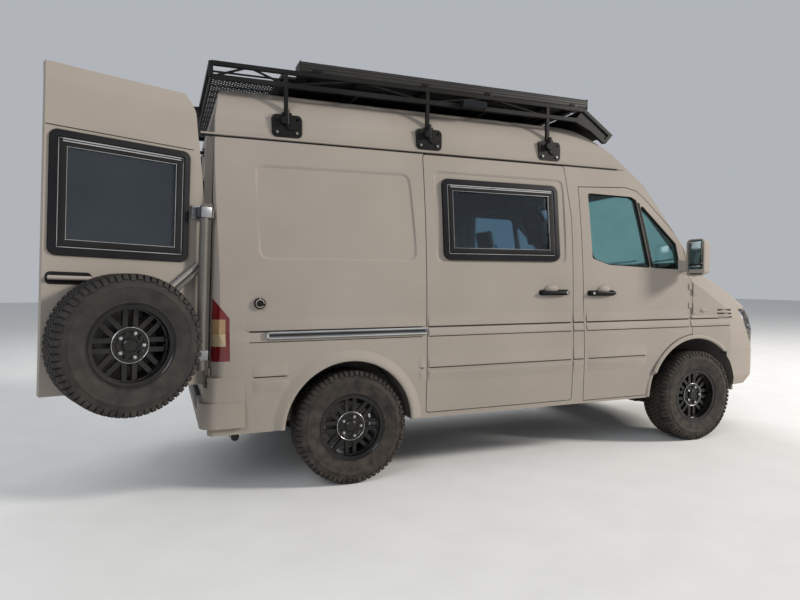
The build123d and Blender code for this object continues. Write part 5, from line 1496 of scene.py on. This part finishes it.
# Headlamps: reflectors and amber lamps behind the lens, given by side, height and radius.
headlamp = {
    "reflectors": [(0.6, 0.955, 0.052), (0.725, 0.955, 0.046)], "sides": 28,
    "bowl": [(1.0, 0.014), (0.8, 0.03), (0.5, 0.042), (0.16, 0.046)],
    "amber": (0.79, 1.03), "amberDepth": 0.022, "amberSize": (0.014, 0.034, 0.02),
}
noseTree = treeOf("headlamps")
bm, amber = bmesh.new(), bmesh.new()
for hand in hands:
    for y, z, size in headlamp["reflectors"]:
        hit = skinPoint(noseTree, (3.6, -hand * y, z), (-1, 0, 0))
        rings = [
            [
                bm.verts.new((hit.x - deep, hit.y + size * r * math.cos(a), hit.z + size * r * math.sin(a)))
                for a in anglesRound(headlamp["sides"])
            ]
            for r, deep in headlamp["bowl"]
        ]
        joinRows(bm, rings)
        bm.faces.new(rings[-1])
    y, z = headlamp["amber"]
    hit = skinPoint(noseTree, (3.6, -hand * y, z), (-1, 0, 0))
    addBall(amber, hit - Vector((headlamp["amberDepth"], 0, 0)), headlamp["amberSize"], 16, 10)
addPiece("headlampReflectors", bm, "body", "mirrorFace")
addPiece("headlampAmber", amber, "body", "amberLens")
# Dark backing behind the grille's slots and the bumper's opening, with upright bars in front.
backings = [
    {
        "x": (3.84, 3.846, 3.85), "halfWidth": 0.425, "z": (0.862, 0.99), "bars": 34, "firstBar": -0.412,
        "pitch": 0.025, "barHalf": 0.0015,
    },
    {
        "x": (3.815, 3.82, 3.826), "halfWidth": 0.43, "z": (0.505, 0.61), "bars": 22, "firstBar": -0.42,
        "pitch": 0.04, "barHalf": 0.002,
    },
]
boxes = []
for backing, inset in zip(backings, (0.002, 0.003)):
    rear, middle, front = backing["x"]
    low, high = backing["z"]
    boxes.append(((rear, middle), span(0.0, backing["halfWidth"]), (low, high)))
    for index in range(backing["bars"]):
        y = backing["firstBar"] + backing["pitch"] * index
        boxes.append(((middle, front), span(y, backing["barHalf"]), (low + inset, high - 0.002)))
addBoxPiece("grilleBacking", boxes, "meshBlack")
print("stage: nose and tail")

# Cowl grille: a black ribbed panel between the screen's foot and the bonnet.
cowl = {
    "halfWidth": 0.46, "rear": 3.205, "z": 1.364, "thick": 0.004, "gap": 0.012, "steps": 24,
    "ribs": 41, "ribShare": 0.95, "ribInset": 0.006, "ribHalf": 0.003, "ribZ": (-0.001, 0.006), "ribBevel": 0.001,
}
bonnetTree = treeOf("bonnet")


def cowlFront(y):
    # Station of the panel's front edge, a gap behind the bonnet's rear edge.
    stops = (3.24 + 0.002 * step for step in range(120))
    down = Vector((0, 0, -1))
    return next(x for x in stops if bonnetTree.ray_cast(at(x, y, 3.0), down)[0]) - cowl["gap"]


bm = bmesh.new()
rows = []
for step in range(cowl["steps"] + 1):
    y = cowl["halfWidth"] * (2 * step / cowl["steps"] - 1)
    rear, front, top, low = cowl["rear"], cowlFront(y), cowl["z"], cowl["z"] - cowl["thick"]
    rows.append([bm.verts.new(at(x, y, z)) for x, z in ((rear, top), (front, top), (front, low), (rear, low))])
joinRows(bm, rows, capped=True)
for step in range(cowl["ribs"]):
    y = cowl["ribShare"] * cowl["halfWidth"] * (2 * step / (cowl["ribs"] - 1) - 1)
    along = (cowl["rear"] + cowl["ribInset"], cowlFront(y) - cowl["ribInset"])
    addBox(bm, along, span(y, cowl["ribHalf"]), [cowl["z"] + up for up in cowl["ribZ"]], cowl["ribBevel"])
addPiece("cowlGrille", bm, "body", "blackPlastic")

# Seats: padded base, back, headrest and armrest on a dark frame.
# Cushions are station range, middle and half across, height range, part that leans, and bevel.
seat = {
    "y": 0.43, "baseLean": (-3, (1.93, 1.0)), "backLean": (-13, (1.94, 1.06)), "fill": 0.8,
    "cushions": [
        ((1.93, 2.385), 0.0, 0.235, (0.985, 1.11), "baseLean", 0.035),
        ((1.98, 2.36), -0.205, 0.032, (1.03, 1.128), "baseLean", 0.028),
        ((1.98, 2.36), 0.205, 0.032, (1.03, 1.128), "baseLean", 0.028),
        ((1.845, 1.955), 0.0, 0.225, (1.075, 1.625), "backLean", 0.035),
        ((1.87, 1.99), -0.2, 0.035, (1.15, 1.54), "backLean", 0.03),
        ((1.87, 1.99), 0.2, 0.035, (1.15, 1.54), "backLean", 0.03),
        ((1.86, 1.945), 0.0, 0.125, (1.655, 1.835), "backLean", 0.038),
    ],
    "armrest": ((1.9, 2.17), 0.232, 0.024, (1.245, 1.295), 0.02),
    "frame": [((1.92, 2.24), 0.2, (0.7005, 0.96), 0.012), ((1.93, 2.34), 0.22, (0.955, 0.99), 0.008)],
    "stalks": {"x": 1.855, "side": 0.055, "z": 1.6, "run": (-0.02, 0, 0.085), "radius": 0.0065},
    "crown": 0.01, "pull": 0.007, "cuts": 11,
}


def addCushion(bm, x, y, z, lean, pivot, bevel):
    # A padded block: round edges, crowned faces, and sides that pull in between the corners.
    low, high = (at(x[k], y[k], z[k]) for k in (0, 1))
    pad = bmesh.new()
    bmesh.ops.create_cube(pad, size=2.0)
    bmesh.ops.subdivide_edges(pad, edges=pad.edges[:], cuts=seat["cuts"], use_grid_fill=True)
    half = (high - low) / 2
    thin = min(range(3), key=lambda axis: half[axis])
    first, second = [axis for axis in range(3) if axis != thin]
    half[thin] -= seat["crown"]
    bevel = min(bevel, 0.9 * min(half))
    for vertex in pad.verts:
        # Grid lines crowd toward the edges, where the form is round.
        spot = Vector([math.sin(value * math.pi / 2) * size for value, size in zip(vertex.co, half)])
        core = Vector([max(bevel - size, min(size - bevel, value)) for value, size in zip(spot, half)])
        spot = core + (spot - core).normalized() * bevel
        share = [value / size for value, size in zip(spot, half)]
        spot[thin] += seat["crown"] * share[thin] * (1 - share[first] ** 2) * (1 - share[second] ** 2)
        spot[first] -= seat["pull"] * share[first] ** 3 * (1 - share[second] ** 2)
        spot[second] -= seat["pull"] * share[second] ** 3 * (1 - share[first] ** 2)
        vertex.co = spot + (high + low) / 2
    mesh = bpy.data.meshes.new("pad")
    pad.to_mesh(mesh)
    pad.free()
    mesh.transform(Matrix.Translation(pivot) @ Matrix.Rotation(lean, 4, "Y") @ Matrix.Translation(-pivot))
    bm.from_mesh(mesh)
    bpy.data.meshes.remove(mesh)


for hand in hands:
    middle = -hand * seat["y"]
    bm = bmesh.new()
    for x, offset, half, z, leanKey, bevel in seat["cushions"]:
        degrees, (pivotX, pivotZ) = seat[leanKey]
        pivot = at(pivotX, middle, pivotZ)
        addCushion(bm, x, span(middle + offset, half), z, math.radians(degrees), pivot, bevel)
    x, offset, half, z, bevel = seat["armrest"]
    addCushion(bm, x, span(middle + hand * offset, half), z, 0.0, Vector(), bevel)
    piece = addPiece("seat" + sideTitle[hand], bm, "body", "seatCloth", degrees=60)
    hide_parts("seats")
    bm = bmesh.new()
    for x, half, z, bevel in seat["frame"]:
        addBox(bm, x, span(middle, half), z, bevel)
    stalk = seat["stalks"]
    for side in (-1, 1):
        start = at(stalk["x"], middle + side * stalk["side"], stalk["z"])
        addRod(bm, start, start + Vector(stalk["run"]), stalk["radius"], 10)
    addPiece("seatFrame" + sideTitle[hand], bm, "body", "dashPlastic")
print("stage: seats")

# Dashboard: binnacle and centre stack, then air vents and dark faces. Boxes end with bevel and segments.
dash = {
    "pods": [
        ((2.755, 2.93), (0.25, 0.61), (1.292, 1.362), 0.024, 4),
        ((2.742, 2.86), (-0.13, 0.13), (1.13, 1.325), 0.014, 3),
        ((2.695, 2.76), (-0.15, 0.15), (1.01, 1.13), 0.014, 3),
    ],
    "vents": (-0.66, -0.2, 0.2, 0.66), "ventHalf": 0.052,
    "faces": [
        ((2.738, 2.744), (-0.1, 0.1), (1.185, 1.3), 0.004),
        ((2.751, 2.757), (0.285, 0.575), (1.304, 1.35), 0.004),
    ],
}
addBoxPiece("dashPods", dash["pods"], "dashPlastic")
vents = [((2.724, 2.745), span(y, dash["ventHalf"]), (1.205, 1.268), 0.006) for y in dash["vents"]]
addBoxPiece("dashFaces", vents + dash["faces"], "meshBlack")
# Steering wheel: rim pad and boss on the wheel, stalks behind it.
steering = {
    "place": (2.6, 0.43, 1.2), "out": (-0.65, 0, 0.76), "pad": (0.18, 0.0125, 0.0175, 56, 12),
    "boss": [(0.0, 0.02), (0.058, 0.02), (0.068, 0.026), (0.062, 0.036), (0.03, 0.041), (0.0, 0.042)],
    "stalkBack": 0.03, "stalk": (0.028, 0.165), "stalkRise": 0.012, "stalkRadius": 0.0065,
}
wheelSpot, wheelOut = at(*steering["place"]), Vector(steering["out"]).normalized()
bm = bmesh.new()
addRing(bm, *steering["pad"])
addLathe(bm, steering["boss"], 32, closed=False)
addPiece("wheelRimPad", bm, "body", "rubber", place=wheelMatrix(wheelSpot, wheelOut, (0, 1, 0)))
bm = bmesh.new()
start = wheelSpot - wheelOut * steering["stalkBack"]
for side in (-1, 1):
    near, far = (side * reach for reach in steering["stalk"])
    ends = (start + Vector((0, near, 0)), start + Vector((0, far, steering["stalkRise"])))
    addRod(bm, *ends, steering["stalkRadius"], 10)
addPiece("stalks", bm, "body", "dashPlastic")

# Spring clamps and shackles under the floor.
springs = {
    "y": (-0.4, 0.4), "boltX": (-0.055, 0.055), "boltSide": 0.036, "boltZ": (0.325, 0.462), "boltRadius": 0.007,
    "plateX": 0.08, "plateY": 0.05, "plateZ": [(0.448, 0.462), (0.315, 0.329)],
    "shackles": (-0.6, 0.6), "shackleX": 0.02, "shackleY": 0.042, "shackleZ": (0.525, 0.562), "bevel": 0.003,
}
bm = bmesh.new()
for y in springs["y"]:
    for x in springs["boltX"]:
        for side in (-1, 1):
            ends = [at(x, y + side * springs["boltSide"], z) for z in springs["boltZ"]]
            addRod(bm, *ends, springs["boltRadius"], 8)
    for z in springs["plateZ"]:
        addBox(bm, span(0.0, springs["plateX"]), span(y, springs["plateY"]), z, springs["bevel"])
    for x in springs["shackles"]:
        along, across = span(x, springs["shackleX"]), span(y, springs["shackleY"])
        addBox(bm, along, across, springs["shackleZ"], springs["bevel"])
addPiece("springClamps", bm, "body", "underSteel")
print("stage: cabin and springs")

# Stage, light and camera.
view = {
    "place": (-2.261, -4.667, 1.321), "yaw": 21.64, "pitch": -1.72, "lens": 27.04, "sensor": 36.0, "reach": 100,
}
studio = {
    "groundHalf": 40, "groundZ": -0.002, "sky": (0.8, 0.84, 0.9), "skyStrength": 0.55, "aim": (0, 0, 1.2),
    "floor": {"dark": (0.66, 0.66, 0.65), "light": (0.69, 0.69, 0.68), "roughness": 0.9, "bump": 0.02},
}
lights = {
    "keyLight": {"place": (14.0, -8.5, 8.0), "size": 2.8, "power": 3300.0, "colour": (1.0, 0.94, 0.86)},
    "fillLight": {"place": (-7.0, -7.0, 6.0), "size": 5.0, "power": 360.0, "colour": (0.95, 0.97, 1.0)},
    "backLight": {"place": (3.0, 8.0, 7.0), "size": 6.0, "power": 480.0, "colour": (1.0, 1.0, 1.0)},
}
yaw, pitch = math.radians(view["yaw"]), math.radians(view["pitch"])
gaze = Vector((math.sin(yaw) * math.cos(pitch), math.cos(yaw) * math.cos(pitch), math.sin(pitch)))
camera = addToScene("camera", bpy.data.cameras.new("camera"), view["place"], gaze)
camera.data.lens = view["lens"]
camera.data.sensor_width = view["sensor"]
camera.data.clip_end = view["reach"]
bpy.context.scene.camera = camera

ground = bpy.data.meshes.new("ground")
half, z = studio["groundHalf"], studio["groundZ"]
ground.from_pydata([(-half, -half, z), (half, -half, z), (half, half, z), (-half, half, z)], [], [(0, 1, 2, 3)])
groundPiece = addToScene("ground", ground)
makeMaterial("paleFloor", studio["floor"])
ground.materials.append(materials["paleFloor"])

world = bpy.data.worlds.new("studio")
world.use_nodes = True
background = world.node_tree.nodes["Background"]
background.inputs["Color"].default_value = rgb(studio["sky"])
background.inputs["Strength"].default_value = studio["skyStrength"]
bpy.context.scene.world = world
for name, settings in lights.items():
    lamp = bpy.data.lights.new(name, "AREA")
    lamp.size = settings["size"]
    lamp.energy = settings["power"]
    lamp.color = settings["colour"]
    addToScene(name, lamp, settings["place"], Vector(studio["aim"]) - Vector(settings["place"]))
bpy.context.scene.view_settings.view_transform = "Standard"
print("stage: light and camera")
